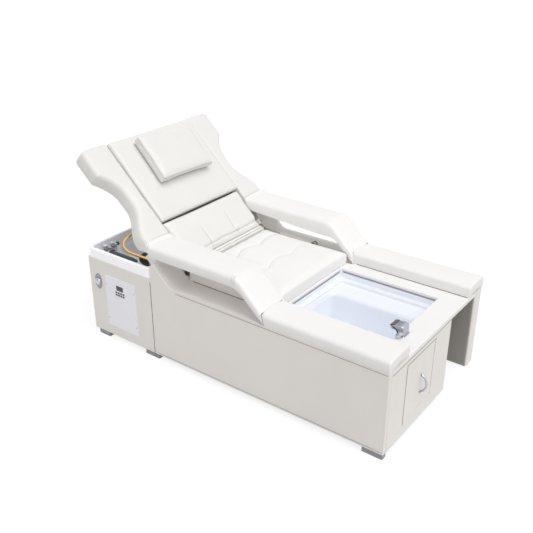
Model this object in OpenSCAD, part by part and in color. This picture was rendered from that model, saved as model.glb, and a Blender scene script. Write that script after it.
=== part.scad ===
// Head spa chair: an upholstered reclining bed with a foot tub at one end and a wash basin at the other.
// Millimetres, +Z up. The foot end faces -Y, the head end +Y, and the sitter's right is -X.
// Inside the modules y = 0 is the foot end; at_origin() moves all to the centre of the footprint.

/* [Body] */
// Width over both side panels
overall_w = 1000; // [980:2:1040]
// Length of the chair body, foot end to wash cabinet
body_l = 1394; // [1390:1:1410]
// Length of the wash cabinet
cabinet_l = 470; // [464:2:500]
// Height of the body above the floor
floor_gap = 28; // [24:1:36]
// Height of the deck, the seat board and the side panels
deck_z = 462; // [456:1:468]
// Thickness of the deck and the seat board
deck_t = 25; // [20:1:28]
// Thickness of the carcass boards
board_t = 18; // [15:1:20]
// Thickness of the right side panel
side_t = 22; // [18:1:26]
// Thickness of the free-standing left side panel
left_side_t = 85; // [70:1:100]
// Height of the glides under the left side panel
glide_h = 4; // [3:0.5:6]
// Width of the foot box, from the right edge
foot_box_w = 624; // [618:2:650]
// Width of the square tubes of the base frame
tube_w = 30; // [25:1:36]

/* [Foot tub] */
// Length of the tub opening
tub_l = 563; // [540:1:570]
// Deck left in front of the tub
tub_front = 126; // [120:1:140]
// Deck left between the tub and the left rail
tub_border = 108; // [96:1:116]
// Deck left between the tub and the right rail
tub_edge = 32; // [26:1:60]
// Corner radius of the tub opening
tub_r = 34; // [20:1:50]
// Depth of the foot shelf below the deck
shelf_depth = 76; // [66:1:90]
// Depth of the well below the deck
well_depth = 314; // [280:2:330]
// Shelf left round the well
well_border = 35; // [30:1:45]
// Thickness of the acrylic
acrylic_t = 5; // [4:0.5:7]
// Width of the flange under the deck
flange_w = 18; // [12:1:22]
// Radius of the drain holes
drain_r = 24; // [20:0.5:28]

/* [Foot hatch] */
// Width of the hatch opening
hatch_w = 286; // [260:2:300]
// Height of the hatch opening
hatch_h = 302; // [280:2:310]
// Height of the hatch opening above the body's bottom edge
hatch_up = 71; // [60:1:80]
// Distance of the hatch from the right edge
hatch_in = 171; // [160:1:185]
// Gap round the hatch door
hatch_gap = 2; // [1.5:0.1:3]
// Distance between the handle's ends
handle_l = 96; // [80:1:120]
// Reach of the handle
handle_reach = 30; // [24:1:36]
// Radius of the handle bar
handle_r = 5; // [4:0.5:6]

/* [Upholstery] */
// Width of the foot rails
rail_w = 178; // [168:1:182]
// Height of the foot rails
rail_h = 58; // [50:1:64]
// Width of the armrests
arm_w = 188; // [182:1:190]
// Height of the armrests' top
arm_z = 660; // [650:1:664]
// Thickness of the armrests
arm_t = 54; // [48:1:58]
// How far the armrests' feet lie ahead of the seat's front
slope_ahead = 45; // [40:1:55]
// Length of the armrests' slope along the chair
slope_run = 158; // [146:1:174]
// Radius of the padded edges
pad_r = 22; // [14:1:24]
// Distance from the tub's opening to the seat's front
seat_gap = 16; // [13:1:22]
// Seat board left behind the seat cushion
seat_behind = 138; // [130:1:146]
// Thickness of the seat cushion
seat_t = 73; // [60:1:80]
// Depth of the sewn seams
seam_depth = 9; // [4:1:12]
// Distance of the long seams from the middle
seam_x = 103; // [90:1:116]

/* [Backrest] */
// Angle of the backrest above level
back_angle = 43.2; // [42:0.1:44]
// Distance of the head panel's lower edge behind the body
head_behind = 62; // [57:1:68]
// Height of the head panel's lower edge
head_z = 727; // [722:1:734]
// Length of the head panel
panel_l = 513; // [490:1:530]
// Thickness of the head panel's padding
panel_t = 45; // [38:1:48]
// Width of the wings at their foot
wing_w = 166; // [163:1:168]
// Thickness of the wings
wing_t = 88; // [76:1:92]
// How far the head panel stands proud of the wings
panel_proud = 8; // [4:1:12]
// Setback of the wings' foot from the sides
wing_set = 14; // [12:1:18]
// How far the backrest's shoulders draw in from the sides
shoulder_in = 9; // [4:1:20]
// How far the backrest's waist draws in from the sides
waist_in = 95; // [84:1:104]
// Rounding of the backrest's front edges
wing_r = 22; // [12:1:26]
// Rounding of the backrest's rear edges
wing_back_r = 7; // [4:1:12]
// Width of the head pillow
pillow_w = 384; // [340:2:420]
// Length of the head pillow
pillow_l = 277; // [240:1:300]
// Thickness of the head pillow
pillow_t = 62; // [50:1:75]
// Place of the pillow's lower edge on the head panel
pillow_up = 178; // [150:1:200]
// Thickness of the lumbar cushion
lumbar_t = 40; // [36:1:41]
// Place of the lumbar cushion's cross seam below the head panel
lumbar_seam = 220; // [200:1:230]

/* [Wash cabinet] */
// Height of the cabinet's top
cabinet_z = 482; // [476:1:488]
// Height of the basin's rim above the cabinet
rim_h = 55; // [50:1:58]
// Setback of the basin's rim from the cabinet's sides
rim_in = 2; // [1:0.5:3]
// Width of the rim
rim_w = 18; // [16:1:20]
// Corner radius of the rim
rim_r = 20; // [14:1:26]
// Corner radius of the basin inside the rim
tray_r = 30; // [24:1:36]
// Depth of the basin's side shelves below the rim
tray_depth = 66; // [60:1:76]
// Depth of the bowl below the rim
bowl_depth = 200; // [170:1:220]
// Width of the bowl
bowl_w = 672; // [600:2:690]
// Radius of the water arch pipe
arch_r = 7.5; // [6:0.5:8]
// Width of the control plate
plate_w = 230; // [220:1:240]
// Height of the control plate
plate_h = 312; // [290:1:320]
// Radius of the water dial
dial_r = 40; // [34:1:44]

/* [Hidden] */
$fn = 48;

// Clearances
soft_gap = 0.3;
run_gap = 0.08;
slide_gap = 0.5;
part_gap = 1;
cushion_gap = 3;

// Main planes
half_w = overall_w / 2;
left_in = half_w - left_side_t;
right_in = -half_w + side_t;
under_deck = deck_z - deck_t;
rear_y = body_l + cabinet_l;
foot_box_x = -half_w + foot_box_w;
arm_in = half_w - arm_w;
rail_in = half_w - rail_w;
seat_half = arm_in - cushion_gap;
head_y = body_l + head_behind;
seat_y = tub_front + tub_l + seat_gap;
seat_l = body_l - seat_behind - seat_y;
slope_y = seat_y - slope_ahead;
bend_y = slope_y + slope_run;
foot_rail_top = deck_z + rail_h;
arm_under = arm_z - arm_t;
seat_bulkhead_y = seat_y + cushion_gap;

// Tub
tub_w = 2 * rail_in - tub_border - tub_edge;
tub_x = rail_in - tub_border - tub_w / 2;
tub_y = tub_front + tub_l / 2;
flange_t = 6;
flange_sink = 12;
flange_z = deck_z - flange_sink - flange_t;
shelf_z = deck_z - shelf_depth;
well_z = deck_z - well_depth;
well_x1 = foot_box_x - board_t - cushion_gap;
well_x0 = tub_x - tub_w / 2 + well_border;

// Backrest plane: local y runs up the back, local z stands off it
cos_b = cos(back_angle);
sin_b = sin(back_angle);
wing_side = half_w - wing_set;
wing_in = wing_side - wing_w;
shoulder_x = half_w - shoulder_in;
waist_x = half_w - waist_in;
wing_top = panel_l + 10;
wing_front = -panel_proud;
wing_back = wing_front - wing_t;
arm_end_gap = 1;
wing_cut_gap = 3;
wing_cut_y = body_l - arm_end_gap + wing_cut_gap;
wing_bottom_z = arm_under + 10;
lumbar_front = wing_front - 2;
lumbar_low = -262;
lumbar_high = -3;
lumbar_half = wing_in - 16;
lumbar_back = lumbar_front - lumbar_t;
lumbar_board_t = 7;

// Recline hinge
pivot_y = body_l + 12;
pivot_z = arm_under - 3;
barrel_r = 9;
hinge_pin_r = 4;
leaf_t = 4;
lever_t = 8;
lever_x = wing_in + 2;
lever_dy = -45;
lever_dz = -95;
spring_x = lever_x + 15;
corner_in = spring_x + 18;
corner_out = half_w - side_t;
cheek_w = 16;
spring_y = body_l - 464;
spring_z = deck_z + 38;
spring_l = norm([pivot_y + lever_dy - spring_y, pivot_z + lever_dz - spring_z]);
spring_a = atan2(pivot_z + lever_dz - spring_z, pivot_y + lever_dy - spring_y);
spring_r = 11;
rod_r = 5;
spring_stroke = 52.1;
spring_swing = 8.02;
bush_gap = 7;
ring_wall = 4;

// Lumbar hinge
lumbar_pivot_y = head_y - 156;
lumbar_pivot_z = head_z - 177.5;
lumbar_pin_r = 5;
lumbar_pivot = [0, (lumbar_pivot_y - head_y) * cos_b + (lumbar_pivot_z - head_z) * sin_b,
    -(lumbar_pivot_y - head_y) * sin_b + (lumbar_pivot_z - head_z) * cos_b];

// Head panel hinge
board_gap = 0.5;
panel_board_t = 12;
panel_board_z = -panel_t - panel_board_t;
frame_tube = 30;
frame_z = panel_board_z - board_gap - frame_tube;
panel_pivot_s = panel_l + 1;
panel_pivot_z = panel_board_z - board_gap / 2;
panel_barrel_r = 6;

// Hatch
hatch_x0 = -half_w + hatch_in;
hatch_x1 = hatch_x0 + hatch_w;
hatch_z0 = floor_gap + hatch_up;
hatch_z1 = hatch_z0 + hatch_h;
hatch_pin_r = 4;
hatch_pin_l = 10;
handle_x = hatch_x0 + 159;
handle_z = hatch_z0 + 135;

// Basin
rim_z = cabinet_z + rim_h;
rim_y0 = body_l + 2;
rim_y1 = rear_y - 1;
rim_half = half_w - rim_in;
tray_half = half_w - board_t - 3;
tray_y0 = body_l + board_t + 3;
tray_y1 = rear_y - board_t - 3;
tray_z = rim_z - tray_depth;
bowl_y0 = tray_y0 + 25;
bowl_y1 = tray_y1 - 28;
bowl_z = rim_z - bowl_depth;
basin_t = 6;
hose_hole_r = drain_r + 16;
arch_y = body_l + 74;
arch_z = rim_z - 14;
arch_half = rim_half - 100;
arch_reach = 340;
arch_bend = 200;
eye_r = 10;
eye_l = 20;

// Controls on the right side of the cabinet
plate_t = 3;
plate_y = body_l + 232;
plate_z = floor_gap + 218;
display_y = plate_y + 3;
display_z = plate_z + 102;
display_w = 50;
display_h = 28;
key_w = 10;
key_h = 8;
key_pitch_y = 18;
key_pitch_z = 15;
key_z = display_z - 28;
key_proud = 2.5;
key_gap = 0.5;
key_travel = 1.5;
stem_l = 10;
dial_y = body_l + 402;
dial_z = floor_gap + 318;
dial_ring_t = 5;
dial_knob_t = 10;
side_proud = dial_ring_t + dial_knob_t;
box_y0 = plate_y - 90;
box_y1 = plate_y + 90;
box_z0 = plate_z + 30;
box_z1 = plate_z + 130;
box_depth = 60;

// The footprint's centre, with the dial, the handle and the backrest's upper edge at its sides
front_reach = handle_reach + handle_r;
edge_step = 0.3 * wing_r;
back_reach = head_y + (wing_top - edge_step) * cos_b - (wing_back + edge_step) * sin_b;
origin_x = side_proud / 2;
origin_y = (front_reach - back_reach) / 2;

module at_origin() {
    translate([origin_x, origin_y, 0]) children();
}

// Places its children in the plane of the backrest
module on_back() {
    translate([0, head_y, head_z]) rotate([back_angle, 0, 0]) children();
}

// A box between two corners
module span(a, b) {
    translate(a) cube(b - a);
}

// Draws its children and their mirror image on the other side
module both_sides() {
    children();
    mirror([1, 0, 0]) children();
}

// A cylinder along X between two places
module shaft(r, x0, x1, y, z) {
    translate([x0, y, z]) rotate([0, 90, 0]) cylinder(r = r, h = x1 - x0);
}

// A box with round vertical corners
module round_box(x0, x1, y0, y1, z0, z1, r) {
    translate([0, 0, z0]) linear_extrude(z1 - z0) {
        translate([x0 + r, y0]) square([x1 - x0 - 2 * r, y1 - y0]);
        translate([x0, y0 + r]) square([x1 - x0, y1 - y0 - 2 * r]);
        for (x = [x0 + r, x1 - r], y = [y0 + r, y1 - r]) translate([x, y]) circle(r);
    }
}

function ease(t) = (1 - cos(180 * t)) / 2;
function run(a, b, n) = [for (i = [0:n - 1]) a + (b - a) * ease(i / n)];
function unit(v) = v / norm(v);
function left_of(v) = [-v[1], v[0]];

// The outline p drawn in by d; p turns to the left
function drawn_in(p, d) = [for (i = [0:len(p) - 1])
    let (
        a = left_of(unit(p[i] - p[(i + len(p) - 1) % len(p)])),
        b = left_of(unit(p[(i + 1) % len(p)] - p[i]))
    ) p[i] + d * (a + b) / (1 + a * b)];

// A padded slab from z = 0 to t over an outline, with its edges rounded by r
module padded_slab(p, t, r, steps = 3) {
    n = len(p);
    low = [for (k = [0:steps]) [r * (1 - sin(90 * k / steps)), r * (1 - cos(90 * k / steps))]];
    high = [for (k = [steps:-1:0]) [low[k][0], t - low[k][1]]];
    rings = concat(low, high);
    points = [for (g = rings) for (q = drawn_in(p, g[0])) [q[0], q[1], g[1]]];
    top = n * (len(rings) - 1);
    polyhedron(points, concat(
        [[for (i = [0:n - 1]) i]],
        [for (k = [0:len(rings) - 2], i = [0:n - 1]) [k * n + i, (k + 1) * n + i, k * n + (i + 1) % n]],
        [for (k = [0:len(rings) - 2], i = [0:n - 1])
            [(k + 1) * n + i, (k + 1) * n + (i + 1) % n, k * n + (i + 1) % n]],
        [[for (i = [n - 1:-1:0]) top + i]]));
}

// How full a cushion is at u, v, both from -1 to 1: 0 at its edge and 1 over its middle
function fullness(u, v, sharp) = pow(max(0, (1 - pow(abs(u), sharp)) * (1 - pow(abs(v), sharp))), 1 / 3);

// A crowned cushion over w by l, from z = 0 to t. Its edge seam lies at seam_z, its sides are
// drawn in by pull between the corners, and dip(x, y) gives the depth of its sewn channels.
module cushion(w, l, t, us, vs, seam_z, crown, pull, dip, sharp = 8) {
    nu = len(us);
    nv = len(vs);
    function flat(u, v) = [
        (w / 2 - pull * (1 - v * v) * pow(abs(u), 6)) * u,
        l / 2 + (l / 2 - pull * (1 - u * u) * pow(abs(v), 6)) * v];
    top = [for (v = vs, u = us)
        let (
            q = flat(u, v),
            f = fullness(u, v, sharp),
            z = t - seam_z - crown + crown * (1 - u * u) * (1 - v * v) - dip(q[0], q[1])
        ) [q[0], q[1], seam_z + f * z]];
    edge = concat([for (i = [0:nu - 2]) i], [for (j = [0:nv - 2]) j * nu + nu - 1],
        [for (i = [nu - 1:-1:1]) (nv - 1) * nu + i], [for (j = [nv - 1:-1:1]) j * nu]);
    m = len(edge);
    inset = seam_z * 0.5;
    base = [for (i = edge)
        [top[i][0] * (1 - 2 * inset / w), l / 2 + (top[i][1] - l / 2) * (1 - 2 * inset / l), 0]];
    s = nu * nv;
    polyhedron(concat(top, base), concat(
        [for (j = [0:nv - 2], i = [0:nu - 2]) [j * nu + i, (j + 1) * nu + i, j * nu + i + 1]],
        [for (j = [0:nv - 2], i = [0:nu - 2]) [j * nu + i + 1, (j + 1) * nu + i, (j + 1) * nu + i + 1]],
        [for (k = [0:m - 1]) [edge[k], edge[(k + 1) % m], s + k]],
        [for (k = [0:m - 1]) [edge[(k + 1) % m], s + (k + 1) % m, s + k]],
        [[for (k = [0:m - 1]) s + k]]));
}

// The depth of a sewn valley at distance d from its seam
function valley(d, depth, width) = depth * exp(-d * d / (width * width));

// A padded bar of width w through stations [y low, z low, y high, z high, inset]: it follows the
// stations from its lower line to its upper one, with round upper edges and a crown
module padded_bar(x0, w, stations, r, crown = 3) {
    corner = [for (a = [0:22.5:90]) [r * (1 - cos(a)), r * (1 - sin(a))]];
    crowned = [for (k = [1:5]) [r + (w - 2 * r) * k / 6, -crown * sin(180 * k / 6)]];
    far_corner = [for (k = [len(corner) - 1:-1:0]) [w - corner[k][0], corner[k][1]]];
    profile = concat([[0, 1000]], corner, crowned, far_corner, [[w, 1000]]);
    n = len(profile);
    points = [for (s = stations, q = profile)
        let (
            t = norm([s[2] - s[0], s[3] - s[1]]),
            low = [s[0], s[1]],
            up = ([s[2], s[3]] - low) / t,
            h = q[1] > t ? 0 : (t - q[1]) * (1 - s[4] / t),
            x = s[4] + q[0] * (1 - 2 * s[4] / w),
            c = low + up * h
        ) [x0 + x, c[0], c[1]]];
    last = n * (len(stations) - 1);
    polyhedron(points, concat(
        [[for (i = [0:n - 1]) i]],
        [for (k = [0:len(stations) - 2], i = [0:n - 1]) [k * n + i, (k + 1) * n + i, k * n + (i + 1) % n]],
        [for (k = [0:len(stations) - 2], i = [0:n - 1])
            [(k + 1) * n + i, (k + 1) * n + (i + 1) % n, k * n + (i + 1) % n]],
        [[for (i = [n - 1:-1:0]) last + i]]));
}

// The corner b between a and c, rounded off from d before it to d after it
function rounded(a, b, c, d, n = 4) = [for (k = [0:n])
    let (p = b + d * unit(a - b), q = b + d * unit(c - b), t = k / n)
    (1 - t) * (1 - t) * p + 2 * t * (1 - t) * b + t * t * q];

// Outlines of the side panels' rear rise, of the corner blocks that carry the armrests and of the
// cheeks behind them, whose upper edge stays clear of the wings when the back goes down
rise_low = body_l - 165;
rise_top = body_l - 23;
rise_foot = [[rise_low, deck_z], [rise_low + 30, deck_z + 7], [rise_low + 84, deck_z + 60]];
rise = concat(rise_foot, [[rise_top - 7, deck_z + 111], [body_l, deck_z + 91], [body_l, deck_z]]);
corner = concat(rise_foot, [[rise_top - 20, deck_z + 110], [rise_top, arm_under], [body_l, arm_under],
    [body_l, deck_z]]);
cheek = [[body_l - 1, deck_z + 83], [body_l - 1, arm_under], [body_l + 22, arm_under],
    [body_l + 42, arm_under - 18], [body_l + 4, deck_z + 87]];

// Draws a y-z outline as a board from x0 to x1
module yz_board(x0, x1) {
    translate([x0, 0, 0]) rotate([90, 0, 90]) linear_extrude(x1 - x0) children();
}

module base_frame() at_origin() color("dimgray") {
    z1 = floor_gap + tube_w;
    x0 = right_in + 2;
    x1 = foot_box_x - board_t - 2;
    x2 = left_in - 2;
    y0 = board_t + 2;
    y1 = body_l - 2;
    y2 = seat_bulkhead_y + board_t;
    difference() {
        union() {
            span([x0, y0, floor_gap], [x0 + tube_w, y1, z1]);
            span([x1 - tube_w, y0, floor_gap], [x1, y2 + tube_w, z1]);
            span([x2 - tube_w, y2, floor_gap], [x2, y1, z1]);
            span([x0, y0, floor_gap], [x1, y0 + tube_w, z1]);
            span([x0, y2, floor_gap], [x2, y2 + tube_w, z1]);
            span([x0, y1 - tube_w, floor_gap], [x2, y1, z1]);
        }
        for (x = [x0 + tube_w / 2, x2 - tube_w / 2])
            translate([x, y1 - 60, floor_gap - 1]) cylinder(r = 5, h = 12);
    }
}

module feet() at_origin() color("dimgray") {
    bar = 32;
    for (y = [[4, 110], [body_l - 27, body_l - 1], [body_l + 1, body_l + 73], [rear_y - 111, rear_y - 28]])
        span([-half_w + 3, y[0], 0], [-half_w + 3 + bar, y[1], floor_gap]);
    for (y = [[body_l + 26, body_l + 106], [rear_y - 111, rear_y - 28]])
        span([half_w - 8 - bar, y[0], 0], [half_w - 8, y[1], floor_gap]);
    span([foot_box_x - board_t - tube_w, 300, 0], [foot_box_x - board_t - 4, 380, floor_gap]);
    for (y = [70, 480, 900, body_l - 70])
        translate([left_in + left_side_t / 2, y, 0]) cylinder(r = 16, h = glide_h);
}

module right_side_panel() at_origin() color("gainsboro") {
    yz_board(-half_w, right_in) union() {
        translate([0, floor_gap]) square([body_l, deck_z - floor_gap]);
        polygon(rise);
    }
}

module left_side_panel() at_origin() color("gainsboro") {
    yz_board(left_in, half_w) translate([0, glide_h]) square([body_l, deck_z - glide_h]);
    yz_board(corner_out, half_w) polygon(rise);
}

module rear_corners() at_origin() color("gainsboro") both_sides() {
    yz_board(corner_in, corner_out) polygon(corner);
    yz_board(corner_out - cheek_w, corner_out) polygon(cheek);
}

module foot_box() at_origin() color("gainsboro") {
    difference() {
        span([right_in, 0, floor_gap], [foot_box_x, board_t, under_deck]);
        span([hatch_x0, -1, hatch_z0], [hatch_x1, board_t + 1, hatch_z1]);
        translate([hatch_x1 - hatch_gap - board_t / 2, board_t / 2, hatch_z0 - hatch_pin_l - 1])
            cylinder(r = hatch_pin_r + run_gap, h = hatch_h + 2 * hatch_pin_l + 2);
    }
    difference() {
        span([foot_box_x - board_t, board_t, floor_gap],
            [foot_box_x, seat_bulkhead_y - part_gap, under_deck]);
        span([foot_box_x - board_t - 1, tub_y - tub_l / 2 - flange_w - 2, shelf_z - acrylic_t - 2],
            [foot_box_x + 1, tub_y + tub_l / 2 + flange_w + 2, under_deck + 1]);
    }
}

module hatch_door() at_origin() color("gainsboro") {
    x1 = hatch_x1 - hatch_gap - board_t / 2;
    span([hatch_x0 + hatch_gap, 0, hatch_z0 + hatch_gap], [x1, board_t, hatch_z1 - hatch_gap]);
    translate([x1, board_t / 2, hatch_z0 + hatch_gap]) cylinder(r = board_t / 2, h = hatch_h - 2 * hatch_gap);
    translate([x1, board_t / 2, hatch_z0 - hatch_pin_l])
        cylinder(r = hatch_pin_r, h = hatch_h + 2 * hatch_pin_l);
}

module hatch_handle() at_origin() color("silver") {
    bow_r = (pow(handle_l / 2, 2) + pow(handle_reach, 2)) / 2 / handle_reach;
    half = acos((bow_r - handle_reach) / bow_r);
    difference() {
        translate([handle_x, bow_r - handle_reach, handle_z]) rotate([0, -90, 0]) rotate([0, 0, -90 - half])
            rotate_extrude(angle = 2 * half) translate([bow_r, 0]) circle(r = handle_r);
        span([handle_x - 2 * handle_r, 0, handle_z - handle_l],
            [handle_x + 2 * handle_r, 20, handle_z + handle_l]);
    }
    for (z = [-handle_l / 2, handle_l / 2])
        translate([handle_x, 0, handle_z + z]) rotate([90, 0, 0]) cylinder(r = handle_r + 3, h = 4);
}

module deck() at_origin() color("whitesmoke") {
    x0 = tub_x - tub_w / 2;
    x1 = tub_x + tub_w / 2;
    y0 = tub_y - tub_l / 2;
    y1 = tub_y + tub_l / 2;
    f = flange_w + part_gap;
    difference() {
        span([right_in, 0, under_deck], [left_in, seat_bulkhead_y - part_gap, deck_z]);
        round_box(x0, x1, y0, y1, under_deck - 1, deck_z + 1, tub_r);
        round_box(x0 - f, x1 + f, y0 - f, min(y1 + f, seat_bulkhead_y - part_gap - 6), under_deck - 1,
            flange_z + flange_t, tub_r);
    }
}

module foot_tub() at_origin() color("white") {
    x0 = tub_x - tub_w / 2;
    x1 = tub_x + tub_w / 2;
    y0 = tub_y - tub_l / 2;
    y1 = tub_y + tub_l / 2;
    t = acrylic_t;
    wy0 = y0 + well_border;
    wy1 = y1 - well_border;
    difference() {
        union() {
            round_box(x0 - flange_w, x1 + flange_w, y0 - flange_w, min(y1 + flange_w, seat_bulkhead_y - 8),
                flange_z, flange_z + flange_t, tub_r);
            round_box(x0 - t, x1 + t, y0 - t, y1 + t, shelf_z - t, flange_z + 1, tub_r + t);
            round_box(well_x0 - t, well_x1, wy0 - t, wy1 + t, well_z - t, shelf_z, tub_r + t);
        }
        round_box(x0, x1, y0, y1, shelf_z, flange_z + flange_t + 1, tub_r);
        round_box(well_x0, well_x1 - t, wy0, wy1, well_z, shelf_z + 1, tub_r);
        translate([(well_x0 + well_x1) / 2, tub_y, well_z - t - 1]) cylinder(r = drain_r, h = t + 2);
    }
}

// A drain fitting with its rim on the floor of a bowl
module drain(z, floor_t, tail) {
    difference() {
        union() {
            translate([0, 0, z]) cylinder(r = drain_r + 6, h = 2.5);
            translate([0, 0, z - tail]) cylinder(r = drain_r - run_gap, h = tail + 1);
            translate([0, 0, z - floor_t - 6]) cylinder(r = drain_r + 5, h = 6);
        }
        translate([0, 0, z - tail - 1]) cylinder(r = drain_r - 5, h = tail - 3);
        for (a = [0:60:300]) rotate([0, 0, a]) translate([drain_r * 0.5, 0, z - 5]) cylinder(r = 3.5, h = 10);
    }
}

module tub_drain() at_origin() color("silver")
    translate([(well_x0 + well_x1) / 2, tub_y, 0]) drain(well_z, acrylic_t, 40);

// Place of the waterfall spout on the front strip
spout_w = 56;
spout_x = tub_x - tub_w / 2 + 110;
spout_y = tub_front - 34;
spout_knob_r = 12;
spout_pin_r = 5;
spout_knob_y = spout_y + 12;
spout_knob_z = deck_z + 20;

module waterfall_spout() at_origin() color("silver") {
    difference() {
        union() {
            yz_board(spout_x - spout_w / 2, spout_x + spout_w / 2) polygon([
                [spout_y - 2, deck_z], [spout_y + 28, deck_z], [spout_y + 28, deck_z + 30],
                [spout_y + 62, deck_z + 26], [spout_y + 66, deck_z + 38], [spout_y + 58, deck_z + 49],
                [spout_y + 6, deck_z + 54], [spout_y - 2, deck_z + 44]]);
            span([spout_x - spout_w / 2 - 6, spout_y - 8, deck_z],
                [spout_x + spout_w / 2 + 6, spout_y + 34, deck_z + 5]);
            shaft(spout_pin_r, spout_x - spout_w / 2 - 24, spout_x - spout_w / 2 + 1,
                spout_knob_y, spout_knob_z);
        }
        yz_board(spout_x - spout_w / 2 + 4, spout_x + spout_w / 2 - 4) polygon([[spout_y + 14, deck_z + 34],
            [spout_y + 80, deck_z + 30], [spout_y + 80, deck_z + 38], [spout_y + 58, deck_z + 43],
            [spout_y + 14, deck_z + 46]]);
    }
}

module spout_knob() at_origin() color("silver") {
    x1 = spout_x - spout_w / 2 - part_gap;
    difference() {
        union() {
            shaft(spout_knob_r, x1 - 24, x1, spout_knob_y, spout_knob_z);
            span([x1 - 20, spout_knob_y - 3, spout_knob_z + spout_knob_r - 2],
                [x1 - 4, spout_knob_y + 3, spout_knob_z + spout_knob_r + 3]);
        }
        shaft(spout_pin_r + run_gap, x1 - 23, x1 + 1, spout_knob_y, spout_knob_z);
    }
}

module seat_base() at_origin() color("burlywood") {
    span([right_in, seat_bulkhead_y, under_deck], [left_in, body_l, deck_z]);
    span([right_in, seat_bulkhead_y, floor_gap + tube_w], [left_in, seat_bulkhead_y + board_t, under_deck]);
    span([right_in, body_l - board_t, floor_gap + tube_w], [left_in, body_l, under_deck]);
}

// Grid lines over a cushion, closer at its edges and its seams
edge_lines = [-1, -0.985, -0.94, -0.86];
function both_ways(half) = concat(half, [0], [for (i = [len(half) - 1:-1:0]) -half[i]]);
function across_seams(su) = both_ways(concat(edge_lines, [-0.7, -0.5, -su - 0.08, -su - 0.03, -su, -su + 0.03,
    -su + 0.08, -0.12]));

module seat_cushion() at_origin() color("whitesmoke") {
    w = 2 * seat_half;
    seam_1 = 0.4 * seat_l;
    seam_2 = 0.777 * seat_l;
    vs1 = 2 * seam_1 / seat_l - 1;
    vs2 = 2 * seam_2 / seat_l - 1;
    us = across_seams(seam_x / seat_half);
    vs = concat(edge_lines, [-0.7, -0.5, vs1 - 0.13, vs1 - 0.04, vs1, vs1 + 0.04, vs1 + 0.13, (vs1 + vs2) / 2,
        vs2 - 0.13, vs2 - 0.04, vs2, vs2 + 0.04, vs2 + 0.13, 0.8, 0.9, 0.96, 0.985, 1]);
    translate([0, seat_y, deck_z]) cushion(w, seat_l, seat_t, us, vs, seat_t * 0.6, 4, 3,
        function (x, y) let (
            f = min(1, max(0, (y - 120) / 100)),
            long_seam = valley(abs(x) - seam_x, seam_depth * 0.7 * f, 14),
            cross_seam = max(valley(y - seam_1, seam_depth * 0.5, 14),
                valley(y - seam_2, seam_depth * 0.7, 14)),
            tuft = max(valley(norm([abs(x) - seam_x, y - seam_1]), seam_depth, 26),
                valley(norm([abs(x) - seam_x, y - seam_2]), seam_depth, 26))
        ) max(long_seam, cross_seam, tuft));
}

// Upper and lower lines of the foot rails and the armrests
joint_lean = 16;
end_r = 12;
lay_gap = 0.3;

module foot_rail(x0) {
    y1 = slope_y - lay_gap;
    function station(y0, y, inset) = [y0, deck_z, y, foot_rail_top, inset];
    padded_bar(x0, rail_w, [station(0, 0, end_r), station(end_r * 0.3, end_r * 0.3, end_r * 0.3),
        station(end_r, end_r, 0), station(y1 / 2, (y1 + joint_lean) / 2, 0),
        station(y1 - 8, y1 + joint_lean - 8, 0.3), station(y1, y1 + joint_lean, 2)], pad_r);
}

module armrest(x0) {
    low0 = [slope_y + lay_gap, deck_z];
    low1 = [rise_top, arm_under];
    high0 = [slope_y + lay_gap + joint_lean, foot_rail_top];
    high1 = [body_l - arm_end_gap, arm_z];
    low = concat([low0, low0 + 0.03 * ([bend_y, arm_under] - low0)],
        rounded(low0, [bend_y, arm_under], low1, 46),
        [low1 - [300, 0], low1 - [end_r, 0], low1 - [end_r * 0.3, 0], low1]);
    high = concat([high0, high0 + 0.03 * ([bend_y, arm_z] - high0)],
        rounded(high0, [bend_y, arm_z], high1, 46),
        [high1 - [300, 0], high1 - [end_r, 0], high1 - [end_r * 0.3, 0], high1]);
    n = len(low);
    padded_bar(x0, arm_w, [for (k = [0:n - 1])
        [low[k][0], low[k][1], high[k][0], high[k][1],
            k == 0 ? 2 : k == n - 2 ? end_r * 0.3 : k == n - 1 ? end_r : 0]], pad_r);
}

module right_foot_rail() at_origin() color("whitesmoke") foot_rail(-half_w);
module left_foot_rail() at_origin() color("whitesmoke") foot_rail(half_w - rail_w);
module right_armrest() at_origin() color("whitesmoke") armrest(-half_w);
module left_armrest() at_origin() color("whitesmoke") armrest(half_w - arm_w);

// Places its children at the gas spring's lower pin, with y along the spring
module at_spring() {
    translate([0, spring_y, spring_z]) rotate([spring_a, 0, 0]) children();
}

eye_half = 8;
cheek_t = 4;

module spring_brackets() at_origin() color("dimgray") both_sides() {
    difference() {
        for (x = [spring_x - eye_half - part_gap - cheek_t, spring_x + eye_half + part_gap]) {
            span([x, spring_y - 14, deck_z], [x + cheek_t, spring_y + 14, spring_z]);
            shaft(14, x, x + cheek_t, spring_y, spring_z);
        }
    }
    span([spring_x - 13, spring_y - 40, deck_z], [spring_x + 13, spring_y + 40, deck_z + 4]);
    shaft(hinge_pin_r, spring_x - eye_half - 7, spring_x + eye_half + 7, spring_y, spring_z);
}

tube_end = 229;

module gas_spring_tubes() at_origin() color("dimgray") both_sides() at_spring() {
    difference() {
        union() {
            shaft(10, spring_x - eye_half, spring_x + eye_half, 0, 0);
            translate([spring_x, 6, 0]) rotate([-90, 0, 0]) cylinder(r = 6, h = 12);
            translate([spring_x, 16, 0]) rotate([-90, 0, 0]) cylinder(r = spring_r, h = tube_end - 16);
        }
        shaft(hinge_pin_r + run_gap, spring_x - 20, spring_x + 20, 0, 0);
        translate([spring_x, 40, 0]) rotate([-90, 0, 0]) cylinder(r = rod_r + run_gap, h = tube_end);
    }
}

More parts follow.
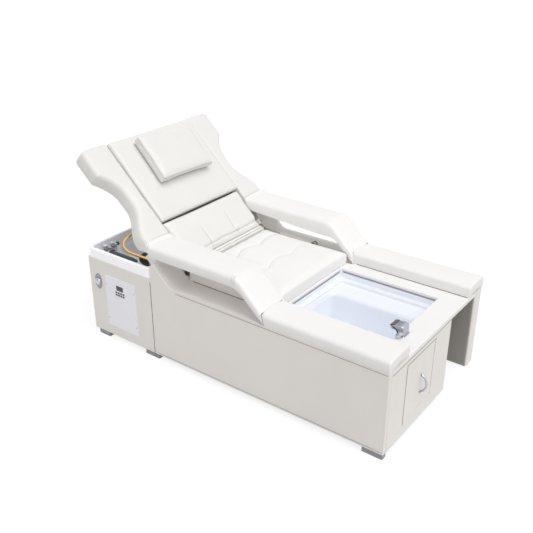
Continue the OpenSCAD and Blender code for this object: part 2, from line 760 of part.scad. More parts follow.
module gas_spring_rods() at_origin() color("silver") both_sides() at_spring() {
    ring_r = hinge_pin_r + bush_gap + ring_wall;
    difference() {
        union() {
            translate([spring_x, 104, 0]) rotate([-90, 0, 0])
                cylinder(r = rod_r, h = spring_l - ring_r - 102);
            shaft(ring_r, spring_x - 5, spring_x + 5, spring_l, 0);
        }
        shaft(hinge_pin_r + bush_gap, spring_x - 6, spring_x + 6, spring_l, 0);
    }
}

knuckle_x = [for (x = [60, 80, 81, 119, 120, 138]) wing_in + x];

module hinge_brackets() at_origin() color("dimgray") both_sides() {
    span([knuckle_x[0], body_l, pivot_z - 48], [knuckle_x[5], body_l + leaf_t, pivot_z - 6]);
    for (x = [[knuckle_x[0], knuckle_x[1]], [knuckle_x[4], knuckle_x[5]]]) {
        shaft(barrel_r, x[0], x[1], pivot_y, pivot_z);
        span([x[0], body_l, pivot_z - 18], [x[1], pivot_y + 2, pivot_z - 3]);
    }
    shaft(hinge_pin_r, knuckle_x[0], knuckle_x[5], pivot_y, pivot_z);
}

module back_levers() at_origin() color("dimgray") both_sides() {
    l = norm([lever_dy, lever_dz]);
    plate_z0 = wing_bottom_z - leaf_t;
    span([lever_x, pivot_y + 2, plate_z0], [knuckle_x[5], pivot_y + 64, wing_bottom_z]);
    difference() {
        union() {
            shaft(barrel_r, knuckle_x[2], knuckle_x[3], pivot_y, pivot_z);
            span([knuckle_x[2], pivot_y, pivot_z], [knuckle_x[3], pivot_y + 16, plate_z0]);
        }
        shaft(hinge_pin_r + run_gap, knuckle_x[2] - 1, knuckle_x[3] + 1, pivot_y, pivot_z);
    }
    shaft(11, lever_x, lever_x + lever_t, pivot_y, pivot_z);
    span([lever_x, pivot_y, pivot_z], [lever_x + lever_t, pivot_y + 22, plate_z0 + 1]);
    translate([lever_x, pivot_y, pivot_z]) rotate([atan2(lever_dz, lever_dy), 0, 0])
        translate([0, 0, -11]) cube([lever_t, l, 22]);
    shaft(11, lever_x, lever_x + lever_t, pivot_y + lever_dy, pivot_z + lever_dz);
    shaft(hinge_pin_r, lever_x, spring_x + 7, pivot_y + lever_dy, pivot_z + lever_dz);
}

frame_low = 5;
frame_high = panel_l - 8;

module back_frame() at_origin() color("dimgray") on_back() {
    t = frame_tube;
    x1 = wing_in;
    for (x = [-x1, x1 - t]) span([x, frame_low, frame_z], [x + t, frame_high, frame_z + t]);
    for (s = [frame_low, frame_high - t]) span([-x1 + t - 1, s, frame_z], [x1 - t + 1, s + t, frame_z + t]);
}

// A padded form through stations [low point, high point, x0, x1, inset], with its upper edges
// rounded by r and its lower ones by low_r
module padded_loft(stations, r, low_r, crown = 2) {
    function bend(x, y, sx, sy, turn) = [for (a = turn ? [0:22.5:90] : [90:-22.5:0])
        let (k = y == 1 ? 1 : low_r / r) [x, k * sx * (1 - cos(a)), y, k * sy * (1 - sin(a))]];
    profile = concat(bend(0, 1, 1, -1, true), [for (k = [1:5]) [k / 6, 1 - k / 3, 1, 0, sin(30 * k)]],
        bend(1, 1, -1, -1, false), bend(1, 0, -1, 1, true), bend(0, 0, 1, 1, false));
    n = len(profile);
    points = [for (s = stations, q = profile)
        let (
            t = norm(s[1] - s[0]),
            w = s[3] - s[2],
            e = min(r, t * 0.45),
            h = q[2] * t + q[3] * e + (len(q) > 4 ? crown * q[4] : 0),
            x = q[0] * w + q[1] * e,
            c = s[0] + (s[1] - s[0]) / t * (s[4] + h * (1 - 2 * s[4] / t))
        ) [s[2] + s[4] + x * (1 - 2 * s[4] / w), c[0], c[1]]];
    last = n * (len(stations) - 1);
    polyhedron(points, concat(
        [[for (i = [0:n - 1]) i]],
        [for (k = [0:len(stations) - 2], i = [0:n - 1]) [k * n + i, (k + 1) * n + i, k * n + (i + 1) % n]],
        [for (k = [0:len(stations) - 2], i = [0:n - 1])
            [(k + 1) * n + i, (k + 1) * n + (i + 1) % n, k * n + (i + 1) % n]],
        [[for (i = [n - 1:-1:0]) last + i]]));
}

// A point of the backrest's plane, s along it and off in front of it, as [y, z]
function back_point(s, off) = [head_y + s * cos_b - off * sin_b, head_z + s * sin_b + off * cos_b];

// Half width of the backrest at s
wing_corner = 26;
function wing_edge(s) = s < -45 ? wing_side
    : s < 150 ? wing_side + (waist_x - wing_side) * ease((s + 45) / 195)
    : s < 215 ? waist_x
    : s < 362 ? waist_x + (shoulder_x - waist_x) * pow((s - 215) / 147, 1.9)
    : s < wing_top - wing_corner ? shoulder_x
    : shoulder_x - wing_corner + sqrt(pow(wing_corner, 2) - pow(s - wing_top + wing_corner, 2));

module wing() {
    low_end = back_point((wing_bottom_z - head_z - wing_back * cos_b) / sin_b, wing_back);
    high_end = back_point((wing_cut_y - head_y + wing_front * sin_b) / cos_b, wing_front);
    corner = [wing_cut_y, wing_bottom_z];
    function across(s, inset = 0) = [back_point(s, wing_back), back_point(s, wing_front), wing_in,
        wing_edge(s), inset];
    padded_loft(concat(
        [for (q = [0.85, 0.6, 0.25, 0]) [low_end + q * (corner - low_end), high_end + q * (corner - high_end),
            wing_in, wing_side, 0]],
        [for (s = [-45, -20, 5, 35, 65, 95, 130, 170, 215, 255, 290, 325, 362, 400, 450,
            wing_top - wing_corner]) across(s)],
        [across(wing_top - edge_step, edge_step), across(wing_top, wing_r)]), wing_r, wing_back_r);
}

module left_wing() at_origin() color("whitesmoke") wing();
module right_wing() at_origin() color("whitesmoke") mirror([1, 0, 0]) wing();

// Lumbar part, swinging on two pins
lumbar_plate_x = lumbar_half + 2;
lumbar_plate_t = 4;
lumbar_bracket_x = lumbar_plate_x + lumbar_plate_t + part_gap;
lumbar_bracket_t = 6;

module lumbar_brackets() at_origin() color("dimgray") both_sides() {
    y = lumbar_pivot_y;
    z = lumbar_pivot_z;
    x = lumbar_bracket_x;
    difference() {
        union() {
            span([x, y - 14, deck_z], [x + lumbar_bracket_t, y + 14, z]);
            shaft(14, x, x + lumbar_bracket_t, y, z);
            span([x, y - 26, deck_z], [x + 16, y + 26, deck_z + 4]);
        }
        shaft(lumbar_pin_r + run_gap, x - 1, x + lumbar_bracket_t + 1, y, z);
    }
}

module lumbar_board() at_origin() color("burlywood") on_back() {
    z0 = lumbar_back - lumbar_board_t;
    p = lumbar_pivot;
    x1 = lumbar_plate_x + lumbar_plate_t;
    span([-lumbar_half + 8, lumbar_low + 14, z0], [lumbar_half - 8, lumbar_high - 16, lumbar_back]);
    for (x = [-x1, lumbar_plate_x]) span([x, p[1] - 16, z0], [x + lumbar_plate_t, p[1] + 16, p[2] + 14]);
    span([-x1, p[1] - 12, z0], [x1, p[1] + 16, lumbar_back - 4]);
    for (x = [-1, 1]) shaft(lumbar_pin_r, x > 0 ? x1 - 1 : -lumbar_bracket_x - 8,
        x > 0 ? lumbar_bracket_x + 8 : -x1 + 1, p[1], p[2]);
}

module lumbar_cushion() at_origin() color("whitesmoke") {
    w = 2 * lumbar_half;
    l = lumbar_high - lumbar_low;
    seam = -lumbar_low - lumbar_seam;
    vq = 2 * seam / l - 1;
    us = across_seams(seam_x / lumbar_half);
    vs = concat([-1, -0.97, -0.89, vq - 0.08, vq, vq + 0.08, vq + 0.2, vq + 0.5, vq + 0.85, 0.4, 0.7,
        0.86, 0.94, 0.985, 1]);
    on_back() translate([0, lumbar_low, lumbar_back]) cushion(w, l, lumbar_t, us, vs, lumbar_t * 0.55, 6, 2,
        function (x, y) let (
            fade = min(1, max(0, 1 - (y - seam) / 130)),
            long_seam = y < seam ? 0 : valley(abs(x) - seam_x, seam_depth * 0.7 * fade, 14),
            cross_seam = valley(y - seam, seam_depth * 0.8, 13)
        ) max(long_seam, cross_seam));
}

// Head panel, hinged at its upper edge
panel_low = 2;
panel_half = wing_in - 2;
panel_knuckles = [180, 200, 200.5, 220.5, 221, 241];
panel_pin_r = 3;

module panel_hinges() at_origin() color("dimgray") both_sides() on_back() {
    s = panel_pivot_s;
    z = panel_pivot_z;
    for (k = [0, 4]) {
        shaft(panel_barrel_r, panel_knuckles[k], panel_knuckles[k + 1], s, z);
        span([panel_knuckles[k], frame_high, z - panel_barrel_r], [panel_knuckles[k + 1], s, z - 1]);
    }
    shaft(panel_pin_r, panel_knuckles[0], panel_knuckles[5], s, z);
}

module head_panel_board() at_origin() color("burlywood") on_back() {
    s = panel_pivot_s;
    z = panel_pivot_z;
    difference() {
        union() {
            span([-panel_half + 18, panel_low + 4, panel_board_z],
                [panel_half - 18, frame_high - 2, -panel_t]);
            both_sides() {
                shaft(panel_barrel_r, panel_knuckles[2], panel_knuckles[3], s, z);
                span([panel_knuckles[2], frame_high - 3, z + 1], [panel_knuckles[3], s, z + panel_barrel_r]);
            }
        }
        both_sides() shaft(panel_pin_r + run_gap, panel_knuckles[2] - 0.4, panel_knuckles[3] + 0.4, s, z);
    }
}

function slab_outline(x0, x1, y0, y1, r) = [for (c = [[x1 - r, y0 + r, -90], [x1 - r, y1 - r, 0],
    [x0 + r, y1 - r, 90], [x0 + r, y0 + r, 180]]) for (k = [0:3])
    [c[0] + r * cos(c[2] + 30 * k), c[1] + r * sin(c[2] + 30 * k)]];

module head_panel() at_origin() color("whitesmoke") on_back() translate([0, 0, -panel_t])
    padded_slab(slab_outline(-panel_half, panel_half, panel_low, panel_l, 16), panel_t, 12);

module head_pillow() at_origin() color("whitesmoke") on_back() {
    us = both_ways([-1, -0.975, -0.91, -0.8, -0.6, -0.3]);
    translate([0, pillow_up, 0]) cushion(pillow_w, pillow_l, pillow_t, us, us, pillow_t * 0.62, 12, 4,
        function (x, y) 0, 12);
}

module wash_cabinet() at_origin() color("gainsboro") {
    b = board_t;
    difference() {
        span([-half_w, body_l, floor_gap], [half_w, rear_y, cabinet_z]);
        span([-half_w + b, body_l + b, floor_gap + b], [half_w - b, rear_y - b, cabinet_z + 1]);
        span([-half_w - 1, box_y0, box_z0], [-half_w + b + 1, box_y1, box_z1]);
        shaft(dial_pipe_r, -half_w - 1, -half_w + b + 1, dial_y, dial_z);
        translate([0, (bowl_y0 + bowl_y1) / 2, floor_gap - 1]) cylinder(r = hose_hole_r, h = b + 2);
        for (x = [-60:40:60]) span([x, rear_y - b - 1, 80], [x + 20, rear_y + 1, 110]);
    }
}

module shampoo_basin() at_origin() color("white") {
    t = basin_t;
    bx = bowl_w / 2;
    difference() {
        union() {
            round_box(-rim_half, rim_half, rim_y0, rim_y1, cabinet_z, rim_z, rim_r);
            round_box(-tray_half, tray_half, tray_y0, tray_y1, tray_z - t, cabinet_z + 1, tray_r + t);
            round_box(-bx - t, bx + t, bowl_y0 - t, bowl_y1 + t, bowl_z - t, tray_z, 60 + t);
        }
        round_box(-tray_half + t, tray_half - t, tray_y0 + t, tray_y1 - t, tray_z, rim_z + 1, tray_r);
        round_box(-rim_half + rim_w, rim_half - rim_w, rim_y0 + rim_w, rim_y1 - rim_w, cabinet_z + 2,
            rim_z + 1, tray_r);
        round_box(-bx, bx, bowl_y0, bowl_y1, bowl_z, tray_z + 1, 60);
        translate([0, (bowl_y0 + bowl_y1) / 2, bowl_z - t - 1]) cylinder(r = drain_r, h = t + 2);
    }
}

module basin_drain() at_origin() color("silver")
    translate([0, (bowl_y0 + bowl_y1) / 2, 0]) drain(bowl_z, basin_t, 34);

// Rubber apron hooked over the front rim: it dips below the arch's pipe and is cut out for the neck
apron_half = arch_half + 40;
apron_y = arch_y + 132;
apron_r = 120;
apron_t = 7;
apron_z = arch_z - arch_r - 3.5;
neck_r = 190;

module neck_rest() at_origin() color("#202020") {
    y1 = rim_y0 + rim_w;
    difference() {
        intersection() {
            yz_board(-apron_half, apron_half) polygon([[rim_y0 + 6, rim_z], [y1, rim_z], [y1, rim_z - apron_t],
                [y1 + 14, apron_z - apron_t], [apron_y, apron_z - apron_t], [apron_y, apron_z],
                [y1 + 17, apron_z], [y1 + 6, rim_z + 9], [rim_y0 + 8, rim_z + 11], [rim_y0 + 6, rim_z + 8]]);
            round_box(-apron_half, apron_half, rim_y0 - 2 * apron_r, apron_y, apron_z - 60, rim_z + 20,
                apron_r);
        }
        translate([0, apron_y + 80, apron_z - 60]) cylinder(r = neck_r, h = 120);
        both_sides() span([arch_half - 24, arch_y - 16, apron_z - 20],
            [arch_half + 24, arch_y + 18, apron_z + 10]);
    }
}

module arch_pivots() at_origin() color("goldenrod") both_sides() {
    for (x = [arch_half - eye_l / 2 - part_gap - 5, arch_half + eye_l / 2 + part_gap]) {
        span([x, arch_y - 9, tray_z], [x + 5, arch_y + 9, arch_z]);
        shaft(9, x, x + 5, arch_y, arch_z);
    }
    shaft(4, arch_half - eye_l / 2 - 5, arch_half + eye_l / 2 + 5, arch_y, arch_z);
}

module water_arch() at_origin() color("goldenrod") {
    r = arch_bend;
    y1 = arch_y + arch_reach;
    difference() {
        union() both_sides() {
            shaft(eye_r, arch_half - eye_l / 2, arch_half + eye_l / 2, arch_y, arch_z);
            translate([arch_half, arch_y + 6, arch_z]) rotate([-90, 0, 0])
                cylinder(r = arch_r, h = arch_reach - r - 6);
            translate([arch_half - r, y1 - r, arch_z]) rotate_extrude(angle = 90)
                translate([r, 0]) circle(r = arch_r);
            shaft(arch_r, -0.5, arch_half - r, y1, arch_z);
        }
        both_sides() shaft(4 + run_gap, arch_half - eye_l, arch_half + eye_l, arch_y, arch_z);
    }
}

// Mixer and hand shower on the right-hand shelf of the basin
mixer_x = -half_w + 106;
mixer_y = rear_y - 58;
mixer_z = rim_z - 39;
mixer_half = 42;
valve_pitch = 52;
stem_r = 5;
knob_z0 = mixer_z + 15;
knob_h = 15;
shower_x = mixer_x - 33;
shower_y = mixer_y - 54;
shower_z = rim_z - 30;
shower_r = 11;

module mixer_body() at_origin() color("silver") {
    shaft(12, mixer_x - mixer_half, mixer_x + mixer_half, mixer_y, mixer_z);
    translate([mixer_x + mixer_half, mixer_y, tray_z]) cylinder(r = 10, h = mixer_z - tray_z + 12);
    for (x = [mixer_x - valve_pitch / 2, mixer_x + valve_pitch / 2]) {
        translate([x, mixer_y, tray_z]) cylinder(r = 9, h = mixer_z - tray_z);
        translate([x, mixer_y, mixer_z]) cylinder(r = 8, h = knob_z0 - mixer_z - part_gap);
        translate([x, mixer_y, mixer_z]) cylinder(r = stem_r, h = knob_z0 - mixer_z + knob_h - 4);
    }
    for (y = [shower_y - 24, shower_y - 150]) difference() {
        span([shower_x - 14, y - 5, tray_z], [shower_x + 14, y + 5, shower_z]);
        translate([shower_x, y - 6, shower_z]) rotate([-90, 0, 0]) cylinder(r = shower_r + soft_gap, h = 12);
    }
}

module tap_handle(x, side) {
    y = mixer_y;
    difference() {
        union() {
            translate([x, y, knob_z0]) cylinder(r = 14, h = knob_h);
            span([x, min(y, y + side * 26), knob_z0 + 4],
                [x + 10, max(y, y + side * 26), knob_z0 + knob_h - 2]);
        }
        translate([x, y, knob_z0 - 1]) cylinder(r = stem_r + run_gap, h = knob_h - 2);
    }
}

module hot_handle() at_origin() color("silver") tap_handle(mixer_x - valve_pitch / 2, 1);
module cold_handle() at_origin() color("silver") tap_handle(mixer_x + valve_pitch / 2, -1);

module hand_shower() at_origin() color("darkslategray") {
    translate([shower_x, shower_y, shower_z]) rotate([90, 0, 0]) {
        cylinder(r = 17, h = 14);
        cylinder(r = shower_r, h = 165);
        translate([0, 0, 165]) cylinder(r1 = shower_r, r2 = 7, h = 31);
    }
}

dial_pipe_r = 11;
dial_pin_r = 5;

module dial_ring() at_origin() color("silver") {
    x = -half_w;
    difference() {
        union() {
            shaft(dial_r, x - dial_ring_t, x, dial_y, dial_z);
            shaft(dial_pipe_r - run_gap, x - 1, x + board_t + 14, dial_y, dial_z);
        }
        shaft(dial_pin_r + run_gap, x - dial_ring_t - 1, x + board_t + 8, dial_y, dial_z);
    }
}

module dial_knob() at_origin() color("silver") {
    x = -half_w - dial_ring_t - 0.4;
    shaft(dial_r * 0.74, x - dial_knob_t + 0.4, x, dial_y, dial_z);
    shaft(dial_pin_r, x - 1, -half_w + board_t + 6, dial_y, dial_z);
}

function key_y(k) = display_y + ((k - 1) % 4 - 1.5) * key_pitch_y;
function key_row(k) = key_z - floor((k - 1) / 4) * key_pitch_z;

module control_plate() at_origin() color("lavender") {
    x = -half_w;
    difference() {
        span([x - plate_t, plate_y - plate_w / 2, plate_z - plate_h / 2],
            [x, plate_y + plate_w / 2, plate_z + plate_h / 2]);
        for (k = [1:8])
            translate([x - plate_t - 1, key_y(k) - key_w / 2 - key_gap, key_row(k) - key_h / 2 - key_gap])
                cube([plate_t + 2, key_w + 2 * key_gap, key_h + 2 * key_gap]);
    }
}

module plate_screws() at_origin() color("silver")
    for (y = [-1, 1], z = [-1, 1])
        shaft(3.5, -half_w - plate_t - 1.5, -half_w - plate_t,
            plate_y + y * (plate_w / 2 - 9), plate_z + z * 104);

module display() at_origin() color("#151515")
    span([-half_w - plate_t - 1.5, display_y - display_w / 2, display_z - display_h / 2],
        [-half_w - plate_t, display_y + display_w / 2, display_z + display_h / 2]);

module control_box() at_origin() color("#303030") {
    difference() {
        span([-half_w, box_y0 + 1, box_z0 + 1], [-half_w + box_depth, box_y1 - 1, box_z1 - 1]);
        for (k = [1:8]) {
            translate([-half_w - 1, key_y(k) - key_w / 2 - key_gap, key_row(k) - key_h / 2 - key_gap])
                cube([6.5, key_w + 2 * key_gap, key_h + 2 * key_gap]);
            shaft(2 + run_gap, -half_w + 5, -half_w + 5 + stem_l + 2, key_y(k), key_row(k));
        }
    }
}

module key(k) at_origin() color("#151515") {
    x0 = -half_w - plate_t - key_proud;
    translate([x0, key_y(k) - key_w / 2, key_row(k) - key_h / 2])
        cube([plate_t + key_proud + 3.5, key_w, key_h]);
    shaft(2, -half_w + 3, -half_w + 3 + stem_l, key_y(k), key_row(k));
}

module key_1() key(1);
module key_2() key(2);
module key_3() key(3);
module key_4() key(4);
module key_5() key(5);
module key_6() key(6);
module key_7() key(7);
module key_8() key(8);

tank_r = 88;
tank_x1 = half_w - 170;

module heater_tank() at_origin() color("silver") {
    y = body_l + cabinet_l / 2;
    z0 = floor_gap + board_t;
    z = z0 + tank_r + 20;
    shaft(tank_r, hose_hole_r + 25, tank_x1, y, z);
    for (x = [hose_hole_r + 50, tank_x1 - 60]) span([x, y - 50, z0], [x + 20, y + 50, z0 + 50]);
}

module circulation_pump() at_origin() color("dimgray") {
    y = body_l + cabinet_l / 2;
    z0 = floor_gap + board_t;
    span([-330, y - 50, z0], [-180, y + 50, z0 + 10]);
    shaft(42, -320, -210, y, z0 + 54);
    shaft(54, -210, -185, y, z0 + 64);
    span([-300, y - 20, z0 + 5], [-230, y + 20, z0 + 30]);
}

base_frame();
feet();
right_side_panel();
left_side_panel();
foot_box();
hatch_door();
hatch_handle();
deck();
foot_tub();
tub_drain();
waterfall_spout();
spout_knob();
seat_base();
seat_cushion();
rear_corners();
right_foot_rail();
left_foot_rail();
right_armrest();
left_armrest();
spring_brackets();
gas_spring_tubes();
gas_spring_rods();
hinge_brackets();
back_levers();
back_frame();
right_wing();
left_wing();
lumbar_brackets();
lumbar_board();
lumbar_cushion();
panel_hinges();
head_panel_board();
head_panel();
head_pillow();
wash_cabinet();
shampoo_basin();
neck_rest();
basin_drain();
arch_pivots();
water_arch();
mixer_body();
hot_handle();
cold_handle();
hand_shower();
dial_ring();
dial_knob();
control_plate();
plate_screws();
display();
control_box();
heater_tank();
circulation_pump();
key_1();
key_2();
key_3();
key_4();
key_5();
key_6();
key_7();
key_8();
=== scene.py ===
"""Head spa chair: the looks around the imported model.

Lengths are in millimetres in the chair's own frame, where x is across, y = 0 is the foot end and z = 0 is the
floor, until place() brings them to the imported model's frame in metres.
"""

import math

import bmesh
import bpy
import numpy as np
from mathutils import Matrix, Vector, noise

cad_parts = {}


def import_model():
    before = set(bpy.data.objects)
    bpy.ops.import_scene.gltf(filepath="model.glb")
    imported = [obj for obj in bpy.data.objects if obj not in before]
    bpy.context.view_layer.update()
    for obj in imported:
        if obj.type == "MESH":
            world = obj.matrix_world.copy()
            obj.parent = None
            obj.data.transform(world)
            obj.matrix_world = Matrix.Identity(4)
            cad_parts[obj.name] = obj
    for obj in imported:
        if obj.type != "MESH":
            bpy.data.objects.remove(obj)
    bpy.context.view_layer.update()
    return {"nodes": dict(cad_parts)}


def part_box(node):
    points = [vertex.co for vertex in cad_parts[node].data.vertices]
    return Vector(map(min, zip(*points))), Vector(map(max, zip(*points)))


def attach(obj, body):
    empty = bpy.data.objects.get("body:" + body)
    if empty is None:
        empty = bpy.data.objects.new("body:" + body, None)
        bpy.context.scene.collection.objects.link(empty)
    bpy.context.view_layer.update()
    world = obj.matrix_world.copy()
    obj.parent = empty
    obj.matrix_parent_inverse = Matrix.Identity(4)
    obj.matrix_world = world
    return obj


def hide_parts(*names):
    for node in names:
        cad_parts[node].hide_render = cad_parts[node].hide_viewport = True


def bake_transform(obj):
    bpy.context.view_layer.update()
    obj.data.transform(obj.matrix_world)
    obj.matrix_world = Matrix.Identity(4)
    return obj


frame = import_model()

# Main planes of the chair
HALF_W, BODY_L, REAR_Y = 500.0, 1394.0, 1864.0
DECK_Z, DECK_T = 462.0, 25.0
RAIL_TOP, RAIL_IN = 520.0, 322.0
ARM_IN, ARM_TOP, ARM_UNDER = 312.0, 660.0, 606.0
# an armrest rises from the deck at SLOPE_Y, bends at BEND_Y and ends below at RISE_TOP
SLOPE_Y, BEND_Y, RISE_TOP = 660.0, 818.0, 1371.0
JOINT_LEAN = 16.0
SEAT_Y = 705.0
HEAD_Y, HEAD_Z, BACK_ANGLE = 1456.0, 727.0, math.radians(43.2)
COS_B, SIN_B = math.cos(BACK_ANGLE), math.sin(BACK_ANGLE)
WING_IN, WING_FRONT, WING_BACK, WING_TOP = 320.0, -8.0, -96.0, 523.0
CABINET_Z, RIM_Z, CABINET_R = 482.0, 537.0, 26.0
PANEL_IN = 415.0

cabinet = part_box("wash_cabinet")
deck_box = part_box("deck")
ORIGIN = np.array([(cabinet[0].x + cabinet[1].x) / 2, deck_box[0].y, 0.0])


def place(points):
    """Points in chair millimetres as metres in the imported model's frame."""
    return np.asarray(points, float).reshape(-1, 3) / 1000.0 + ORIGIN


def unplace(points):
    return (np.asarray(points, float).reshape(-1, 3) - ORIGIN) * 1000.0


def back_point(s, off):
    """y and z of the point s up the backrest and off in front of its plane."""
    return np.array([HEAD_Y + s * COS_B - off * SIN_B, HEAD_Z + s * SIN_B + off * COS_B])


def smooth_step(t):
    t = np.clip(t, 0.0, 1.0)
    return t * t * (3 - 2 * t)


def ease(t):
    return (1 - math.cos(math.pi * min(max(t, 0.0), 1.0))) / 2


def bell(d, width):
    return np.exp(-((d / width) ** 2))


# Node trees


class Value:
    """A number socket that takes part in Python expressions."""

    def __init__(self, owner, socket):
        self.owner, self.socket = owner, socket

    def _math(self, operation, *operands):
        return self.owner.node("ShaderNodeMath", {"operation": operation}, dict(enumerate(operands)))

    def __add__(self, other):
        return self._math("ADD", self, other)

    __radd__ = __add__

    def __mul__(self, other):
        return self._math("MULTIPLY", self, other)

    __rmul__ = __mul__

    def __sub__(self, other):
        return self._math("SUBTRACT", self, other)

    def __rsub__(self, other):
        return self._math("SUBTRACT", other, self)

    def __abs__(self):
        return self._math("ABSOLUTE", self)


class Nodes:
    """A node tree whose nodes are added one call at a time."""

    def __init__(self, tree):
        self.tree = tree

    def node(self, kind, settings=None, inputs=None, output=0):
        made = self.tree.nodes.new(kind)
        for key, value in (settings or {}).items():
            setattr(made, key, value)
        for key, value in (inputs or {}).items():
            if isinstance(value, Value):
                self.tree.links.new(value.socket, made.inputs[key])
            else:
                made.inputs[key].default_value = value
        return Value(self, made.outputs[output])


class Shader(Nodes):
    """A material made of nodes."""

    def __init__(self, name):
        self.material = bpy.data.materials.new(name)
        self.material.use_nodes = True
        super().__init__(self.material.node_tree)
        self.tree.nodes.clear()
        self.output = self.tree.nodes.new("ShaderNodeOutputMaterial")

    def where(self, scale=None):
        spot = self.node("ShaderNodeTexCoord", output="Object")
        return self.node("ShaderNodeMapping", None, {"Vector": spot, "Scale": scale}) if scale else spot

    def noise(self, scale, detail=3.0, roughness=0.5, where=None):
        inputs = {"Vector": where or self.where(), "Scale": scale, "Detail": detail, "Roughness": roughness}
        return self.node("ShaderNodeTexNoise", None, inputs, "Fac")

    def cells(self, scale, feature="DISTANCE_TO_EDGE"):
        inputs = {"Vector": self.where(), "Scale": scale}
        return self.node("ShaderNodeTexVoronoi", {"feature": feature}, inputs, "Distance")

    def parts(self, vector):
        """The x, y and z of a vector."""
        split = self.node("ShaderNodeSeparateXYZ", None, {0: vector})
        return [Value(self, socket) for socket in split.socket.node.outputs]

    def attribute(self, name):
        return self.node("ShaderNodeAttribute", {"attribute_name": name}, None, "Fac")

    def range(self, value, a, b, c=0.0, d=1.0):
        inputs = {"Value": value, "From Min": a, "From Max": b, "To Min": c, "To Max": d}
        return self.node("ShaderNodeMapRange", {"clamp": True}, inputs)

    def mix(self, factor, a, b):
        sides = {0: factor, 6: a, 7: b}
        sides = {k: (*v, 1.0) if isinstance(v, tuple) else v for k, v in sides.items()}
        return self.node("ShaderNodeMix", {"data_type": "RGBA"}, sides, 2)

    def bump(self, height, strength, distance=0.001, normal=None):
        inputs = {"Height": height, "Strength": strength, "Distance": distance}
        if normal:
            inputs["Normal"] = normal
        return self.node("ShaderNodeBump", None, inputs, "Normal")

    def surface(self, **sockets):
        """A Principled shader with its sockets named in words, such as base_color."""
        named = {k.replace("_", " ").title().replace("Ior", "IOR"): v for k, v in sockets.items()}
        named = {k: (*v, 1.0) if isinstance(v, tuple) else v for k, v in named.items()}
        shader = self.node("ShaderNodeBsdfPrincipled", None, named, "BSDF")
        self.tree.links.new(shader.socket, self.output.inputs["Surface"])
        return self.material

    def moulded(self, colour, dust, roughness, coat, painted_glow_tone, painted_glow):
        """A moulded surface with faint orange peel, duller where dust lies, with an even painted glow of the
        given tone.
        """
        shine = self.range(dust, 0.3, 0.8, roughness, roughness + 0.1)
        peel = self.bump(self.noise(60.0, 2.0), 0.03, 0.002)
        return self.surface(base_color=colour, roughness=shine, normal=peel, coat_weight=coat,
                            coat_roughness=0.08, emission_color=painted_glow_tone, emission_strength=painted_glow)


class Growth(Nodes):
    """A Geometry Nodes tree with named inputs, which turns a path or points into forms of one material."""

    def __init__(self, name, sizes):
        super().__init__(bpy.data.node_groups.new(name, "GeometryNodeTree"))
        face = self.tree.interface
        face.new_socket("Path", in_out="INPUT", socket_type="NodeSocketGeometry")
        self.names = {}
        for label, (kind, value) in sizes.items():
            socket = face.new_socket(label, in_out="INPUT", socket_type="NodeSocket" + kind)
            if value is not None:
                socket.default_value = value
            self.names[label] = socket.identifier
        face.new_socket("Made", in_out="OUTPUT", socket_type="NodeSocketGeometry")
        self.start = self.tree.nodes.new("NodeGroupInput")

    def given(self, label):
        return Value(self, self.start.outputs[label])

    def repeat(self, points, form, turn):
        """The form at each point, stretched to the tree's Size."""
        inputs = {"Points": points, "Instance": form, "Rotation": turn, "Scale": self.given("Size")}
        return self.node("GeometryNodeInstanceOnPoints", None, inputs)

    def close(self, geometry):
        real = self.node("GeometryNodeRealizeInstances", None, {"Geometry": geometry})
        smooth = self.node("GeometryNodeSetShadeSmooth", None, {0: real})
        inputs = {"Geometry": smooth, "Material": self.given("Material")}
        finished = self.node("GeometryNodeSetMaterial", None, inputs)
        end = self.tree.nodes.new("NodeGroupOutput")
        self.tree.links.new(finished.socket, end.inputs["Made"])
        return self


def welt_tree():
    """Round piping along the path."""
    g = Growth("welt", {"Radius": ("Float", 0.002), "Material": ("Material", None)})
    line = g.node("GeometryNodeMeshToCurve", None, {"Mesh": g.given("Path")})
    ring = g.node("GeometryNodeCurvePrimitiveCircle", None, {"Resolution": 10, "Radius": g.given("Radius")})
    tube = g.node("GeometryNodeCurveToMesh", None, {"Curve": line, "Profile Curve": ring, "Fill Caps": True})
    return g.close(tube)


def stitch_tree():
    """Short rounded stitches, one after the other along the path."""
    g = Growth("stitches", {"Pitch": ("Float", 0.005), "Size": ("Vector", (0.0005, 0.0005, 0.0018)),
                            "Material": ("Material", None)})
    line = g.node("GeometryNodeMeshToCurve", None, {"Mesh": g.given("Path")})
    inputs = {"Curve": line, "Length": g.given("Pitch")}
    points = g.node("GeometryNodeCurveToPoints", {"mode": "LENGTH"}, inputs, "Points")
    turn = Value(g, points.socket.node.outputs["Rotation"])
    bead = g.node("GeometryNodeMeshIcoSphere", None, {"Radius": 1.0, "Subdivisions": 2})
    return g.close(g.repeat(points, bead, turn))


def stud_tree():
    """The same small round-headed form at each point, all turned one way."""
    g = Growth("studs", {"Size": ("Vector", (0.004, 0.004, 0.002)), "Turn": ("Rotation", None),
                         "Material": ("Material", None)})
    head = g.node("GeometryNodeMeshUVSphere", None, {"Segments": 20, "Rings": 10, "Radius": 1.0})
    return g.close(g.repeat(g.given("Path"), head, g.given("Turn")))


# Materials


def srgb(r, g, b):
    """A colour as the eye names it, from 0 to 255, as the shader takes it."""
    shares = (r / 255, g / 255, b / 255)
    return tuple(c / 12.92 if c <= 0.04045 else ((c + 0.055) / 1.055) ** 2.4 for c in shares)


def darker(tone, share):
    return tuple(c * share for c in tone)


